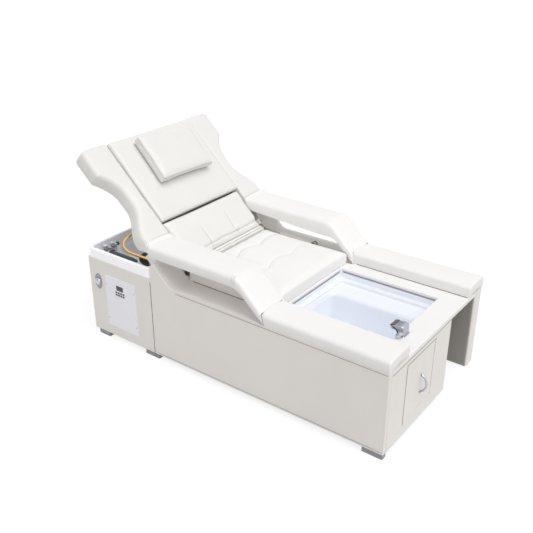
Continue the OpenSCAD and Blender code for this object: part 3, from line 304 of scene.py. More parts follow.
def leather(name, tone, crease_shade_tone, roughness=0.46, cavity_shade_tone=None):
    """Leatherette: fine pebble grain over soft unevenness, with painted shade in its seams and folds.

    The last argument is a darker tone, painted on the inner side of the left panel under the deck as painted
    shade in the cavity there.
    """
    m = Shader(name)
    grain = m.cells(760.0)
    broad = m.noise(5.0)
    wear = m.noise(38.0, 4.0, 0.6)
    colour = m.mix(m.range(broad, 0.3, 0.7), tone, darker(tone, 0.98))
    colour = m.mix(m.range(wear, 0.52, 0.8, 0.0, 0.12), colour, darker(tone, 0.92))
    # painted shade: darker towards the crease shade tone where the seam attribute marks seams and folds
    colour = m.mix(m.range(m.attribute("seam"), 0.0, 1.0, 0.0, 0.9), colour, crease_shade_tone)
    # painted shade: the left panel's inner side under the deck takes the darker tone, for the shade in the
    # cavity there
    if cavity_shade_tone:
        x, _, z = m.parts(m.where())
        inner = place((PANEL_IN, 0.0, 0.0))[0][0]
        below = m.range(z, DECK_Z / 1000.0 - 0.02, DECK_Z / 1000.0, 1.0, 0.0)
        colour = m.mix(m.range(x, inner + 0.002, inner + 0.006, 1.0, 0.0) * below, colour, cavity_shade_tone)
    normal = m.bump(m.range(grain, 0.0, 0.12) * 0.7 + m.noise(2600.0, 2.0) * 0.3, 0.14, 0.0005)
    normal = m.bump(m.noise(55.0, 3.0, 0.55), 0.08, 0.002, normal)
    shine = m.range(broad * 0.5 + grain, 0.2, 0.75, roughness - 0.05, roughness + 0.08)
    return m.surface(base_color=colour, roughness=shine, normal=normal, coat_weight=0.05, coat_roughness=0.35)


def gloss(name, tone, roughness=0.16, coat=0.4, painted_glow=0.0):
    """Moulded gloss plastic with faint orange peel and a little dust.

    The last argument is the strength of an even emission, a painted glow that lightens shaded insides.
    """
    m = Shader(name)
    dust = m.noise(14.0, 5.0, 0.6)
    colour = m.mix(m.range(dust, 0.35, 0.75), tone, darker(tone, 0.97))
    return m.moulded(colour, dust, roughness, coat, tone, painted_glow)


def metal(name, tone, roughness, streak=0.0, axis=(1.0, 1.0, 1.0)):
    """Bare or plated metal; streak brushes it along the axis whose scale is smallest."""
    m = Shader(name)
    lines = m.noise(220.0, 4.0, 0.6, m.where(axis))
    smear = m.noise(18.0, 4.0, 0.6)
    shine = m.range(smear + lines * streak, 0.3, 1.1, roughness, roughness + 0.16)
    return m.surface(base_color=m.mix(m.range(smear, 0.3, 0.8), tone, darker(tone, 0.9)), metallic=1.0,
                     roughness=shine, normal=m.bump(lines, 0.02 + 0.1 * streak, 0.0005))


def matte(name, tone, roughness=0.6, scale=900.0, strength=0.2):
    """Paint, rubber, cloth or textured plastic with a fine grain."""
    m = Shader(name)
    scuff = m.noise(30.0, 5.0, 0.65)
    light = tuple(min(1.0, c * 1.4 + 0.008) for c in tone)
    return m.surface(base_color=m.mix(m.range(scuff, 0.5, 0.85, 0.0, 0.5), tone, light),
                     roughness=m.range(scuff, 0.3, 0.8, roughness, roughness + 0.12),
                     normal=m.bump(m.noise(scale), strength, 0.0005))


def plywood(name):
    m = Shader(name)
    figure = m.noise(60.0, 6.0, 0.6, m.where((1.0, 0.12, 1.0)))
    colour = m.mix(m.range(figure, 0.3, 0.7), srgb(214, 190, 152), srgb(182, 150, 110))
    return m.surface(base_color=colour, roughness=0.62, normal=m.bump(figure, 0.2, 0.001))


# tone of the painted shade in the leatherette's seams and folds
SEAM = srgb(172, 167, 160)
# one leatherette in four tones: the panel, board and back copies are a little darker than the top copy, as
# painted shade on faces that take less light
top_leather = leather("white_leatherette", srgb(244, 242, 240), SEAM)
panel_leather = leather("white_leatherette_panel", srgb(240, 236, 232), SEAM, 0.5, srgb(158, 154, 148))
back_leather = leather("white_leatherette_back", srgb(234, 232, 229), SEAM)
side_leather = leather("white_leatherette_boards", srgb(240, 236, 232), SEAM, 0.5)
# the white acrylic's faint emission is a painted glow that lightens the foot tub's shaded well
acrylic = gloss("white_acrylic", srgb(223, 226, 233), 0.2, 0.25, 0.19)
chrome = metal("chrome_plate", (0.62, 0.64, 0.69), 0.09)
ribbed_chrome = metal("satin_chrome_plate", (0.5, 0.53, 0.6), 0.16)
gold = metal("gold_plate", (0.86, 0.55, 0.14), 0.16)
steel = metal("ground_steel", (0.62, 0.62, 0.63), 0.28, 0.6, (1.0, 0.1, 1.0))
satin = metal("satin_aluminium", (0.36, 0.36, 0.4), 0.34, 0.4)
pale_satin = metal("pale_satin_aluminium", (0.6, 0.6, 0.63), 0.3, 0.4)
dark_paint = matte("dark_grey_paint", srgb(98, 98, 104), 0.45, 500.0, 0.1)
foot_plastic = matte("grey_foot_plastic", srgb(148, 147, 150), 0.4, 500.0, 0.1)
frame_paint = matte("grey_frame_paint", srgb(120, 118, 116), 0.45, 500.0, 0.1)
cream_plastic = gloss("cream_plastic", srgb(236, 232, 222), 0.3, 0.15)
rubber = matte("black_rubber", srgb(26, 26, 27), 0.62)
dark_plastic = matte("dark_grey_green_plastic", srgb(70, 84, 84), 0.4)
black_gloss = gloss("black_gloss", srgb(18, 18, 20), 0.12)
film = gloss("pale_film", srgb(248, 248, 255), 0.3, 0.1)
ply = plywood("plywood")
thread = matte("white_thread", srgb(226, 222, 215), 0.8, 2500.0, 0.4)
# dark tubes in this tone stand for the shadow in thin gaps, as painted shadow
gap_shadow_material = matte("seam_shadow_thread", srgb(120, 112, 104), 0.8, 1500.0, 0.3)

WELT, STITCHES, STUDS = welt_tree(), stitch_tree(), stud_tree()
THREAD_R = 0.0005

# Mesh helpers


def linked(name, data):
    obj = bpy.data.objects.new(name, data)
    bpy.context.collection.objects.link(obj)
    return obj


def painted(mesh, material):
    mesh.materials.clear()
    mesh.materials.append(material)


def smoothed(mesh, sharp=None):
    """Shades the mesh smooth, but for edges that bend by more than sharp degrees."""
    mesh.polygons.foreach_set("use_smooth", [True] * len(mesh.polygons))
    if sharp:
        mesh.set_sharp_from_angle(angle=math.radians(sharp))


def new_object(name, points, faces, material, smooth=True):
    mesh = bpy.data.meshes.new(name)
    mesh.from_pydata([tuple(p) for p in place(points)], [], faces)
    mesh.validate()
    painted(mesh, material)
    if smooth:
        smoothed(mesh)
    return linked(name, mesh)


def apply_modifiers(obj):
    """Makes the evaluated mesh the object's own."""
    graph = bpy.context.evaluated_depsgraph_get()
    mesh = bpy.data.meshes.new_from_object(obj.evaluated_get(graph), preserve_all_data_layers=True,
                                           depsgraph=graph)
    obj.modifiers.clear()
    obj.data = mesh
    return obj


def facing_out(obj):
    edit = bmesh.new()
    edit.from_mesh(obj.data)
    bmesh.ops.remove_doubles(edit, verts=edit.verts, dist=1e-6)
    bmesh.ops.recalc_face_normals(edit, faces=edit.faces)
    edit.to_mesh(obj.data)
    edit.free()
    return obj


def finish_piece(obj, body, nodes=()):
    if nodes:
        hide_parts(*nodes)
    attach(obj, body)
    return obj


def grown(name, growth, sizes, lines, material, body):
    """Runs a tree along polylines of chair points and keeps the result as one plain mesh on a body."""
    points, edges = [], []
    for line in lines:
        start = len(points)
        points += [tuple(p) for p in place(line)]
        edges += [(k, k + 1) for k in range(start, len(points) - 1)]
    mesh = bpy.data.meshes.new(name)
    mesh.from_pydata(points, edges, [])
    obj = linked(name, mesh)
    run = obj.modifiers.new("growth", "NODES")
    run.node_group = growth.tree
    for label, value in {**sizes, "Material": material}.items():
        run[growth.names[label]] = value
    apply_modifiers(obj)
    return finish_piece(obj, body, ())


def welt(name, radius, lines, material, body="base"):
    return grown(name, WELT, {"Radius": radius / 1000.0}, lines, material, body)


def stitches(name, lines, body, pitch=6.0, length=2.0):
    sizes = {"Pitch": pitch / 1000.0, "Size": (THREAD_R, THREAD_R, length / 1000.0)}
    return grown(name, STITCHES, sizes, lines, thread, body)


def studs(name, size, turn, spots, material, body):
    """Small round-headed forms at the spots. size is across, across and along, in millimetres."""
    sizes = {"Size": tuple(v / 1000.0 for v in size), "Turn": turn.to_euler()}
    return grown(name, STUDS, sizes, [[p] for p in spots], material, body)


def set_crease_shade(obj, values):
    # the seam attribute holds the painted shade of seams and folds, which the leather reads
    layer = obj.data.attributes.get("seam") or obj.data.attributes.new("seam", "FLOAT", "POINT")
    layer.data.foreach_set("value", np.asarray(values, np.float32))


def coords(obj):
    co = np.zeros(len(obj.data.vertices) * 3)
    obj.data.vertices.foreach_get("co", co)
    return co.reshape(-1, 3)


def set_coords(obj, co):
    obj.data.vertices.foreach_set("co", np.asarray(co).ravel())
    obj.data.update()


def normals(obj):
    no = np.zeros(len(obj.data.vertices) * 3, np.float32)
    obj.data.vertices.foreach_get("normal", no)
    return no.reshape(-1, 3)


def relief(obj, depth, seam=None):
    """Moves each vertex along its normal by depth millimetres, and stores seam as the painted shade of seams
    and folds at each vertex.
    """
    set_coords(obj, coords(obj) + normals(obj) * np.asarray(depth)[:, None] / 1000.0)
    set_crease_shade(obj, np.zeros(len(depth)) if seam is None else np.clip(seam, 0, 1))


def ripple(points, size, seed, octaves=2):
    """Smooth noise from -1 to 1 at each point, with bumps of about that size in millimetres."""
    base = Vector((seed * 7.3, seed * 3.1, seed * 11.7))
    return np.array([noise.fractal(Vector(p) / size + base, 0.6, 2.1, octaves) for p in points])


def laid_on(obj, points, lift=0.3):
    """The chair points brought onto the object's surface and lifted off it."""
    out = []
    for p in place(points):
        _, spot, normal, _ = obj.closest_point_on_mesh(Vector(p))
        out.append(spot + normal * lift / 1000.0)
    return unplace(np.array(out))


def line_distance(points, line):
    """Distance in the first two coordinates from each point to a polyline, and the share of it passed."""
    best = np.full(len(points), 1e9)
    along = np.zeros(len(points))
    line = np.asarray(line, float)
    lengths = np.linalg.norm(np.diff(line, axis=0), axis=1)
    total, done = lengths.sum(), 0.0
    for a, b, n in zip(line[:-1], line[1:], lengths):
        d = b - a
        t = np.clip(((points - a) @ d) / (d @ d), 0, 1)
        far = np.linalg.norm(points - (a + t[:, None] * d), axis=1)
        near = far < best
        best[near], along[near] = far[near], ((done + t * n) / total)[near]
        done += n
    return best, along


def curve_through(points, n=16):
    """A smooth polyline through the points."""
    p = np.asarray(points, float)
    p = np.vstack([2 * p[0] - p[1], p, 2 * p[-1] - p[-2]])
    out = []
    for k in range(1, len(p) - 2):
        for t in np.linspace(0, 1, n, endpoint=k == len(p) - 3):
            out.append(0.5 * (2 * p[k] + (p[k + 1] - p[k - 1]) * t
                              + (2 * p[k - 1] - 5 * p[k] + 4 * p[k + 1] - p[k + 2]) * t * t
                              + (3 * p[k] - p[k - 1] - 3 * p[k + 1] + p[k + 2]) * t ** 3))
    return np.array(out)


def arc(n):
    return np.linspace(0, np.pi / 2, n)


def around(n):
    return np.linspace(0, 2 * np.pi, n, endpoint=False)


def section(w, t, r0, r1, r_low, crown, bulge, top_n=26, side_n=10, arc_n=8):
    """A closed cross-section: up the side at 0, over the crowned top, down the side at w and back below."""
    r0, r1, r_low = (min(r, t * 0.45) for r in (r0, r1, r_low))

    def side(r):
        up = np.linspace(r_low, t - r, side_n)
        return up, bulge * np.sin(np.pi * (up - r_low) / max(t - r - r_low, 1e-6))

    up, swell = side(r0)
    pts = [(-b, v) for v, b in zip(up, swell)]
    pts += [(r0 - r0 * math.cos(a), t - r0 + r0 * math.sin(a)) for a in arc(arc_n)[1:]]
    for k in range(1, top_n):
        q = k / top_n
        pts.append((r0 + (w - r0 - r1) * q, t + crown * math.sin(math.pi * q)))
    pts += [(w - r1 + r1 * math.sin(a), t - r1 + r1 * math.cos(a)) for a in arc(arc_n)]
    up, swell = side(r1)
    pts += [(w + b, v) for v, b in list(zip(up, swell))[-2::-1]]
    pts += [(w - r_low + r_low * math.cos(a), r_low - r_low * math.sin(a)) for a in arc(arc_n)[1:]]
    pts += [(r_low + (w - 2 * r_low) * (1 - k / top_n), 0.0) for k in range(1, top_n)]
    pts += [(r_low - r_low * math.sin(a), r_low - r_low * math.cos(a)) for a in arc(arc_n)[:-1]]
    return np.array(pts)


def skin(rings, closed=False):
    """Faces between rings of equal length; the end rings are capped unless the last joins the first."""
    n = len(rings[0])
    points = [tuple(p) for ring in rings for p in ring]
    faces = []
    pairs = list(zip(range(len(rings)), range(1, len(rings))))
    if closed:
        pairs.append((len(rings) - 1, 0))
    for a, b in pairs:
        for i in range(n):
            j = (i + 1) % n
            faces.append((a * n + i, b * n + i, b * n + j, a * n + j))
    if not closed:
        for first, turn in ((0, False), ((len(rings) - 1) * n, True)):
            middle = len(points)
            points.append(tuple(np.mean(points[first:first + n], axis=0)))
            for i in range(n):
                a, b = first + i, first + (i + 1) % n
                faces.append((b, a, middle) if turn else (a, b, middle))
    return points, faces


def formed(name, rings, material, sharp=None, closed=False, smooth=True):
    """A form through rings, its faces turned outwards and its edges sharp past that many degrees."""
    points, faces = skin(rings, closed)
    obj = facing_out(new_object(name, points, faces, material, smooth))
    if sharp:
        obj.data.set_sharp_from_angle(angle=math.radians(sharp))
    return obj


def loft(name, stations, material, radii, r_low=2.0, crown=3.0, bulge=1.5, mirror=False):
    """A closed form through stations (low, high, x0, x1, inset), each low and high a point (y, z)."""
    rings = []
    for low, high, x0, x1, inset in stations:
        low, high = np.asarray(low, float), np.asarray(high, float)
        t, w = np.linalg.norm(high - low), x1 - x0
        up = (high - low) / t
        base = inset if r_low > 5 else 0.0
        r0, r1 = (max(r - inset * 0.5, 3.0) for r in radii)
        q = section(w - 2 * inset, t - base - inset, r0, r1, max(r_low - inset * 0.5, 1.5), crown, bulge)
        c = low[None, :] + (q[:, 1:2] + base) * up[None, :]
        rings.append(np.column_stack([x0 + inset + q[:, 0], c]))
    points, faces = skin(rings)
    points = np.array(points)
    if mirror:
        points[:, 0] *= -1
        faces = [f[::-1] for f in faces]
    return new_object(name, points, faces, material)


def spaced(a, b, step):
    """Values from a to b, about step apart, b left out."""
    n = max(1, int(round(abs(b - a) / step)))
    return [a + (b - a) * k / n for k in range(n)]


def round_end(r, n=7):
    """Distances from a rounded end and the insets there, from the end inwards."""
    return [(r * (1 - math.sin(a)), r * (1 - math.cos(a))) for a in arc(n)][::-1]


def bezier_corner(a, b, c, d, n):
    a, b, c = (np.asarray(v, float) for v in (a, b, c))
    p, q = b + d * (a - b) / np.linalg.norm(a - b), b + d * (c - b) / np.linalg.norm(c - b)
    return [(1 - t) ** 2 * p + 2 * t * (1 - t) * b + t * t * q for t in np.linspace(0, 1, n)]


def turned(name, profile, centre, axis, material, n=40):
    """A form of revolution: profile holds (radius, height) pairs along the axis from the centre."""
    turn = Vector((0, 0, 1)).rotation_difference(Vector(axis)).to_matrix()
    rings = []
    for r, h in profile:
        angles = around(n)
        ring = np.column_stack([r * np.cos(angles), r * np.sin(angles), np.full(n, h)])
        rings.append(ring @ np.array(turn).T + np.asarray(centre, float))
    return formed(name, rings, material, 40.0)


# Foot rails and armrests


def rail(name, side, node):
    """A foot rail: a leather-covered pad along the foot tub. side is -1 for the sitter's right."""
    y1 = SLOPE_Y - 0.3
    x0, x1, radii = (-HALF_W, -RAIL_IN, (25.0, 15.0)) if side < 0 else (RAIL_IN, HALF_W, (15.0, 25.0))
    stations = [((far, DECK_Z), (far, RAIL_TOP), x0, x1, inset) for far, inset in round_end(7.0)]
    for y in spaced(10.0, y1 - 8.0, 9.0):
        q = (y - 12.0) / (y1 - 12.0)
        stations.append(((y, DECK_Z), (y + JOINT_LEAN * q, RAIL_TOP), x0, x1, 0.0))
    for far, inset in round_end(4.5, 5)[::-1]:
        stations.append(((y1 - far, DECK_Z), (y1 - far + JOINT_LEAN, RAIL_TOP), x0, x1, inset))
    obj = loft(name, stations, top_leather, radii, 2.0, 3.0, 1.2)
    co = unplace(coords(obj))
    x, y, z = co.T
    depth = 0.45 * ripple(co, 120.0, 1 + side) + 0.15 * ripple(co, 28.0, 4 + side)
    joint = y1 + JOINT_LEAN * (z - DECK_Z) / (RAIL_TOP - DECK_Z)
    pull = bell(y - joint, 22.0) * np.sin(x / 8.0 + 2 * ripple(co, 60.0, 9)) * 0.45
    corner = bell(y - 20.0, 14.0) * np.sin(z / 5.0 + x / 14.0) * 0.25
    # what lies on the deck stays flat
    resting = np.clip((z - DECK_Z) / 6.0, 0, 1)
    relief(obj, (depth + pull + corner - 0.4) * resting)
    return finish_piece(obj, "base", (node,))


INNER_DROP = 30.0


def armrest(name, side, node):
    """An armrest: it rises from the deck, bends and runs level to the backrest."""
    low0, low1 = np.array([SLOPE_Y + 0.3, DECK_Z]), np.array([RISE_TOP, ARM_UNDER])
    high0, high1 = np.array([SLOPE_Y + 0.3 + JOINT_LEAN, RAIL_TOP]), np.array([BODY_L - 5.0, ARM_TOP + 6.0])
    low_bend, high_bend = np.array([BEND_Y, ARM_UNDER]), np.array([BEND_Y, ARM_TOP])
    x0, x1, radii = (-HALF_W, -ARM_IN, (23.0, 20.0)) if side < 0 else (ARM_IN, HALF_W, (20.0, 23.0))
    lows = bezier_corner(low0, low_bend, low1, 46.0, 17)
    highs = bezier_corner(high0, high_bend, high1, 46.0, 17)
    stations = []
    for far, inset in round_end(4.5, 5):
        q = far / 200.0
        stations.append((low0 + (low_bend - low0) * q, high0 + (high_bend - high0) * q, x0, x1, inset))
    for q in np.linspace(0.06, 0.97, 20):
        stations.append((low0 + (lows[0] - low0) * q, high0 + (highs[0] - high0) * q, x0, x1, 0.0))
    stations += [(a, b, x0, x1, 0.0) for a, b in zip(lows, highs)]
    for q in np.linspace(0.02, 0.965, 60):
        stations.append((lows[-1] + (low1 - lows[-1]) * q, highs[-1] + (high1 - highs[-1]) * q, x0, x1, 0.0))
    # the rear end leans back to lie against the wing
    low2, high2 = np.array([RISE_TOP + 17.0, ARM_UNDER + 3.0]), np.array([BODY_L + 17.0, ARM_TOP + 15.0])
    for q in np.linspace(0.0, 0.75, 5):
        stations.append((low1 + (low2 - low1) * q, high1 + (high2 - high1) * q, x0, x1, 0.0))
    for far, inset in round_end(5.0, 5)[::-1]:
        q = 1.0 - far / 22.0
        stations.append((low1 + (low2 - low1) * q, high1 + (high2 - high1) * q, x0, x1, inset))
    obj = loft(name, stations, top_leather, radii, 2.5, 4.0, 1.4)
    # the cover hangs lower along the inner side, most of all near the bend
    co = unplace(coords(obj))
    x, y, z = co.T
    inward = smooth_step((HALF_W - 20.0 - np.abs(x)) / 120.0)
    along = smooth_step((y - BEND_Y + 62.0) / 120.0) * np.clip((RISE_TOP - y) / (RISE_TOP - BEND_Y), 0, 1)
    hem = ARM_TOP - 12.0
    co[:, 2] -= INNER_DROP * inward * along * np.clip((hem - z) / (hem - ARM_UNDER), 0, 1)
    set_coords(obj, place(co))
    co = unplace(coords(obj))
    x, y, z = co.T
    outer = smooth_step((np.abs(x) - HALF_W + 34.0) / 22.0)
    # where the cover is sewn across the bend, two short folds show at its outer corner
    fold_y = BEND_Y + 2.0 + 0.35 * (z - ARM_UNDER)
    high_side = smooth_step((z - ARM_UNDER - 8.0) / 16.0)
    folds = (bell(y - fold_y, 3.2) + 0.8 * bell(y - fold_y - 12.0, 3.0)) * outer * high_side
    gathers = bell(y - BEND_Y - 8, 42.0) * np.sin(x / 11.0 + 2.5 * ripple(co, 70.0, 5))
    gathers *= smooth_step((z - 560) / 70)
    foot = bell(y - SLOPE_Y - 12.0, 15.0) * np.sin(x / 9.0 + 2.0 * ripple(co, 50.0, 8))
    depth = 0.65 * ripple(co, 110.0, 2 + side) + 0.2 * ripple(co, 30.0, 6 + side)
    depth += 0.55 * gathers - 2.2 * folds + 0.45 * foot
    resting = smooth_step((z - DECK_Z) / 8.0)
    # the folds also get painted shade in their valleys
    relief(obj, (depth - 0.5) * resting, 0.55 * folds)
    return finish_piece(obj, "base", (node,))


rail("rail_pad_right", -1, "right_foot_rail")
rail("rail_pad_left", 1, "left_foot_rail")
SIDE_NAME = {-1: "right", 1: "left"}
arms = {-1: armrest("arm_pad_right", -1, "right_armrest"), 1: armrest("arm_pad_left", 1, "left_armrest")}

# Backrest wings
WING_SIDE, WAIST, SHOULDER, WING_CORNER = 486.0, 405.0, 491.0, 26.0


def wing_edge(s):
    """Half width of the backrest at s."""
    if s < -45:
        return WING_SIDE
    if s < 150:
        return WING_SIDE + (WAIST - WING_SIDE) * ease((s + 45) / 195)
    if s < 215:
        return WAIST
    if s < 362:
        return WAIST + (SHOULDER - WAIST) * ((s - 215) / 147) ** 1.9
    if s < WING_TOP - WING_CORNER:
        return SHOULDER
    return SHOULDER - WING_CORNER + math.sqrt(max(0.0, WING_CORNER ** 2 - (s - WING_TOP + WING_CORNER) ** 2))


def wing(name, side, node):
    """A shaped side of the backrest. Its lower end is cut upright and level, to meet the armrest."""
    cut_y, bottom_z = 1396.0, 616.0
    low_end = back_point((bottom_z - HEAD_Z - WING_BACK * COS_B) / SIN_B, WING_BACK)
    high_end = back_point((cut_y - HEAD_Y + WING_FRONT * SIN_B) / COS_B, WING_FRONT)
    corner = np.array([cut_y, bottom_z])

    def at_end(q, inset):
        low, high = low_end + q * (corner - low_end), high_end + q * (corner - high_end)
        return low, high, WING_IN, WING_SIDE, inset

    def across(s, inset=0.0):
        return back_point(s, WING_BACK), back_point(s, WING_FRONT), WING_IN, wing_edge(s), inset

    stations = [at_end(0.9, 5.0), at_end(0.8, 1.5)]
    stations += [at_end(q, 0.0) for q in (0.68, 0.55, 0.42, 0.3, 0.2, 0.1, 0.0)]
    top_r = 22.0
    stations += [across(s) for s in spaced(-45.0, WING_TOP - top_r, 6.0)]
    stations += [across(WING_TOP - far, inset) for far, inset in round_end(top_r)[::-1]]
    obj = loft(name, stations, back_leather, (9.0, 26.0), 8.0, 2.0, 2.0, mirror=side < 0)
    co = unplace(coords(obj))
    s = (co[:, 1] - HEAD_Y) * COS_B + (co[:, 2] - HEAD_Z) * SIN_B
    depth = 0.8 * ripple(co, 130.0, 12 + side) + 0.25 * ripple(co, 34.0, 15 + side)
    waist = bell(s - 190, 60.0) * bell(np.abs(co[:, 0]) - WAIST, 50.0)
    foot = bell(s + 62, 30.0) * bell(np.abs(co[:, 0]) - 420, 70.0)
    depth += 0.8 * waist * np.sin(s / 9.0 + 2 * ripple(co, 60.0, 3))
    depth += 0.6 * foot * np.sin(co[:, 0] / 10.0 + 2 * ripple(co, 60.0, 7))
    relief(obj, depth - 0.6)
    return finish_piece(obj, "backrest", (node,))


wing("wing_pad_right", -1, "right_wing")
wing("wing_pad_left", 1, "left_wing")

# Cushions


class Bed:
    """Where a pad lies: put() takes a pad's own x, y, z there, and lift() brings them back."""

    def __init__(self, start, angle=0.0, shift=0.0, turn=0.0):
        self.start, self.shift = start, shift
        self.c, self.s = math.cos(angle), math.sin(angle)
        self.tc, self.ts = math.cos(turn), math.sin(turn)

    def put(self, p):
        x, y = p[:, 0] * self.tc + p[:, 1] * self.ts, p[:, 1] * self.tc - p[:, 0] * self.ts
        z = p[:, 2]
        return np.column_stack([x + self.shift, self.start[0] + y * self.c - z * self.s,
                                self.start[1] + y * self.s + z * self.c])

    def lift(self, p):
        x, y, z = p[:, 0] - self.shift, p[:, 1] - self.start[0], p[:, 2] - self.start[1]
        y, z = y * self.c + z * self.s, z * self.c - y * self.s
        return np.column_stack([x * self.tc - y * self.ts, y * self.tc + x * self.ts, z])


def cushion(name, w, l, t, seam_z, crown, pull, sharp, step, bed, edge_r=19.0, material=None):
    """A crowned box cushion over w by l, whose sides pull in between its corners."""
    def lines(size):
        edge = [edge_r * (1 - math.cos(a)) for a in arc(9)]
        inner = spaced(edge_r + step, size - edge_r - step, step)
        return np.array(edge + inner + [size - e for e in edge[::-1]])

    xs, ys = lines(w) - w / 2, lines(l)
    nu, nv = len(xs), len(ys)
    gx, gy = np.meshgrid(xs, ys)
    u, v = gx / (w / 2), gy / (l / 2) - 1
    px = gx - pull * (1 - v * v) * np.sign(u) * np.abs(u) ** 7
    py = gy - pull * (1 - u * u) * np.sign(v) * np.abs(v) ** 7
    full = np.maximum(0, (1 - np.abs(u) ** sharp) * (1 - np.abs(v) ** sharp)) ** (1 / 3)
    pz = seam_z + full * (t - seam_z - crown + crown * (1 - u * u) * (1 - v * v))
    top = np.stack([px, py, pz], -1).reshape(-1, 3)
    edge = list(range(nu)) + [j * nu + nu - 1 for j in range(1, nv)]
    edge += [(nv - 1) * nu + i for i in range(nu - 2, -1, -1)] + [j * nu for j in range(nv - 2, 0, -1)]
    points = [tuple(p) for p in top]
    faces = [(j * nu + i, j * nu + i + 1, (j + 1) * nu + i + 1, (j + 1) * nu + i)
             for j in range(nv - 1) for i in range(nu - 1)]
    ring, rows, m = edge, 7, len(edge)
    for k in range(1, rows + 1):
        a = k / rows
        inset = seam_z * 0.3 * (1 - math.sqrt(max(0.0, 1 - a ** 3)))
        inset -= 1.4 * math.sin(math.pi * min(1.0, a * 1.15))
        start = len(points)
        for i in edge:
            x, y = top[i][0] * (1 - 2 * inset / w), l / 2 + (top[i][1] - l / 2) * (1 - 2 * inset / l)
            points.append((x, y, seam_z * (1 - a)))
        new = list(range(start, len(points)))
        faces += [(ring[(i + 1) % m], ring[i], new[i], new[(i + 1) % m]) for i in range(m)]
        ring = new
    middle = len(points)
    points.append((0.0, l / 2, 0.0))
    faces += [(ring[(i + 1) % m], ring[i], middle) for i in range(m)]
    return new_object(name, bed.put(np.array(points)), faces, material or top_leather)


def refined(obj):
    finer = obj.modifiers.new("finer", "SUBSURF")
    finer.levels = finer.render_levels = 1
    apply_modifiers(obj)


def puffed(obj, bed, voxel, cap, pressure=4.0):
    """Swells a pad's cover under pressure, as stuffing does, by cap at most, and keeps it flat below."""
    even = obj.modifiers.new("even", "REMESH")
    even.mode, even.voxel_size = "VOXEL", voxel / 1000.0
    apply_modifiers(obj)
    before = coords(obj)
    cover = obj.modifiers.new("cover", "CLOTH").settings
    cover.use_pressure, cover.uniform_pressure_force = True, pressure
    cover.effector_weights.gravity = 0.0
    for step in range(1, 21):
        bpy.context.scene.frame_set(step)
    apply_modifiers(obj)
    bpy.context.scene.frame_set(1)
    move = coords(obj) - before
    reach = np.linalg.norm(move, axis=1) * 1000.0
    own = bed.lift(unplace(before))
    keep = np.minimum(1.0, cap / np.maximum(reach, 1e-6)) * smooth_step(own[:, 2] / 14.0)
    set_coords(obj, before + move * keep[:, None])
    refined(obj)
    smoothed(obj.data)
    return bed.lift(unplace(coords(obj)))


def channels(own, seams):
    """Depth of sewn valleys, and the painted shade along their lines at each vertex.

    A seam is (line, depth, width, fade in, fade out) and, where its thread hardly shows, a share of that
    painted shade.
    """
    depth, dark = np.zeros(len(own)), np.zeros(len(own))
    for line, deep, width, fade_a, fade_b, *shade in seams:
        d, t = line_distance(own[:, :2], curve_through(line))
        strength = np.ones(len(own))
        if fade_a:
            strength *= smooth_step(t / fade_a)
        if fade_b:
            strength *= smooth_step((1 - t) / fade_b)
        valley = deep * (0.66 * bell(d, width) + 0.34 * bell(d, 4.0)) * strength
        depth = np.maximum(depth, valley)
        dark = np.maximum(dark, bell(d, 2.6) * strength * (shade[0] if shade else 1.0))
    return depth, dark


def tucks(own, spots, reach, deep, folds):
    """Small folds that spread from tufts."""
    out = np.zeros(len(own))
    for k, (x, y) in enumerate(spots):
        dx, dy = own[:, 0] - x, own[:, 1] - y
        d = np.hypot(dx, dy)
        wave = np.sin(folds * np.arctan2(dy, dx) + k * 1.7 + d / 14.0)
        out += deep * bell(d - reach * 0.35, reach * 0.45) * wave
    return out


TUFT_X = 103.0
# the seat's front comes forward to the tub's edge, most of all where its cover is tucked in below
FRONT_Z, FRONT_SHIFT = (0.0, 12.0, 30.0, 48.0, 70.0), (-27.0, -20.5, -15.0, -13.0, -11.0)


def seat():
    w, l = 618.0, 551.0
    bed = Bed((SEAT_Y, DECK_Z))
    obj = cushion("seat_pad", w, l, 68.0, 53.0, 4.0, 3.0, 16, 6.0, bed, 17.0)
    own = puffed(obj, bed, 6.5, 7.0)
    fore = 1 - smooth_step(own[:, 1] / 90.0)
    own[:, 1] += np.interp(own[:, 2], FRONT_Z, FRONT_SHIFT) * fore
    set_coords(obj, place(bed.put(own)))
    top = smooth_step((own[:, 2] - 50.0) / 14.0)
    a, b, mid, rear = TUFT_X, 309.0, 220.0, 428.0
    seams = [([(-a, mid), (0, mid + 28), (a, mid)], 5.5, 18.0, 0, 0, 0.5),
             ([(-a, rear), (0, rear + 32), (a, rear)], 7.0, 17.0, 0, 0)]
    half = [([(a, mid), (a - 9, mid + 100), (a, rear)], 3.4, 20.0, 0, 0, 0.15),
            ([(a, rear), (a - 6, rear + 70), (a + 4, 552)], 5.0, 16.0, 0, 0, 0.4),
            ([(a, mid), (a + 12, mid - 90)], 3.0, 18.0, 0, 0.95, 0.1),
            ([(a, mid), (200, mid + 20), (b, mid - 4)], 4.5, 17.0, 0, 0.5, 0.3),
            ([(a, rear), (205, rear + 26), (b, rear + 2)], 6.5, 17.0, 0, 0.25)]
    seams += [([(side * x, y) for x, y in line], *rest) for side in (-1, 1) for line, *rest in half]
    spots = [(x, y) for x in (-a, a) for y in (mid, rear)]
    depth, dark = channels(own, seams)
    pits = sum(4.0 * bell(np.hypot(own[:, 0] - x, own[:, 1] - y), 17.0) for x, y in spots)
    co = unplace(coords(obj))
    cloth = 0.7 * ripple(co, 90.0, 21) + 0.25 * ripple(co, 26.0, 22)
    folds = tucks(own, spots, 60.0, 0.7, 7)
    front = bell(own[:, 1] - 6.0, 26.0) * np.sin(own[:, 0] / 34.0 + 2.0 * ripple(co, 120.0, 23)) * 0.5
    # the seams also get painted shade, on the top only
    relief(obj, (-depth - pits + folds) * top + (cloth + front) * smooth_step(own[:, 2] / 5.0) - 0.5,
           0.6 * dark * top)
    return finish_piece(obj, "base", ("seat_cushion",))


LUMBAR_LOW, LUMBAR_BACK = -262.0, -50.0


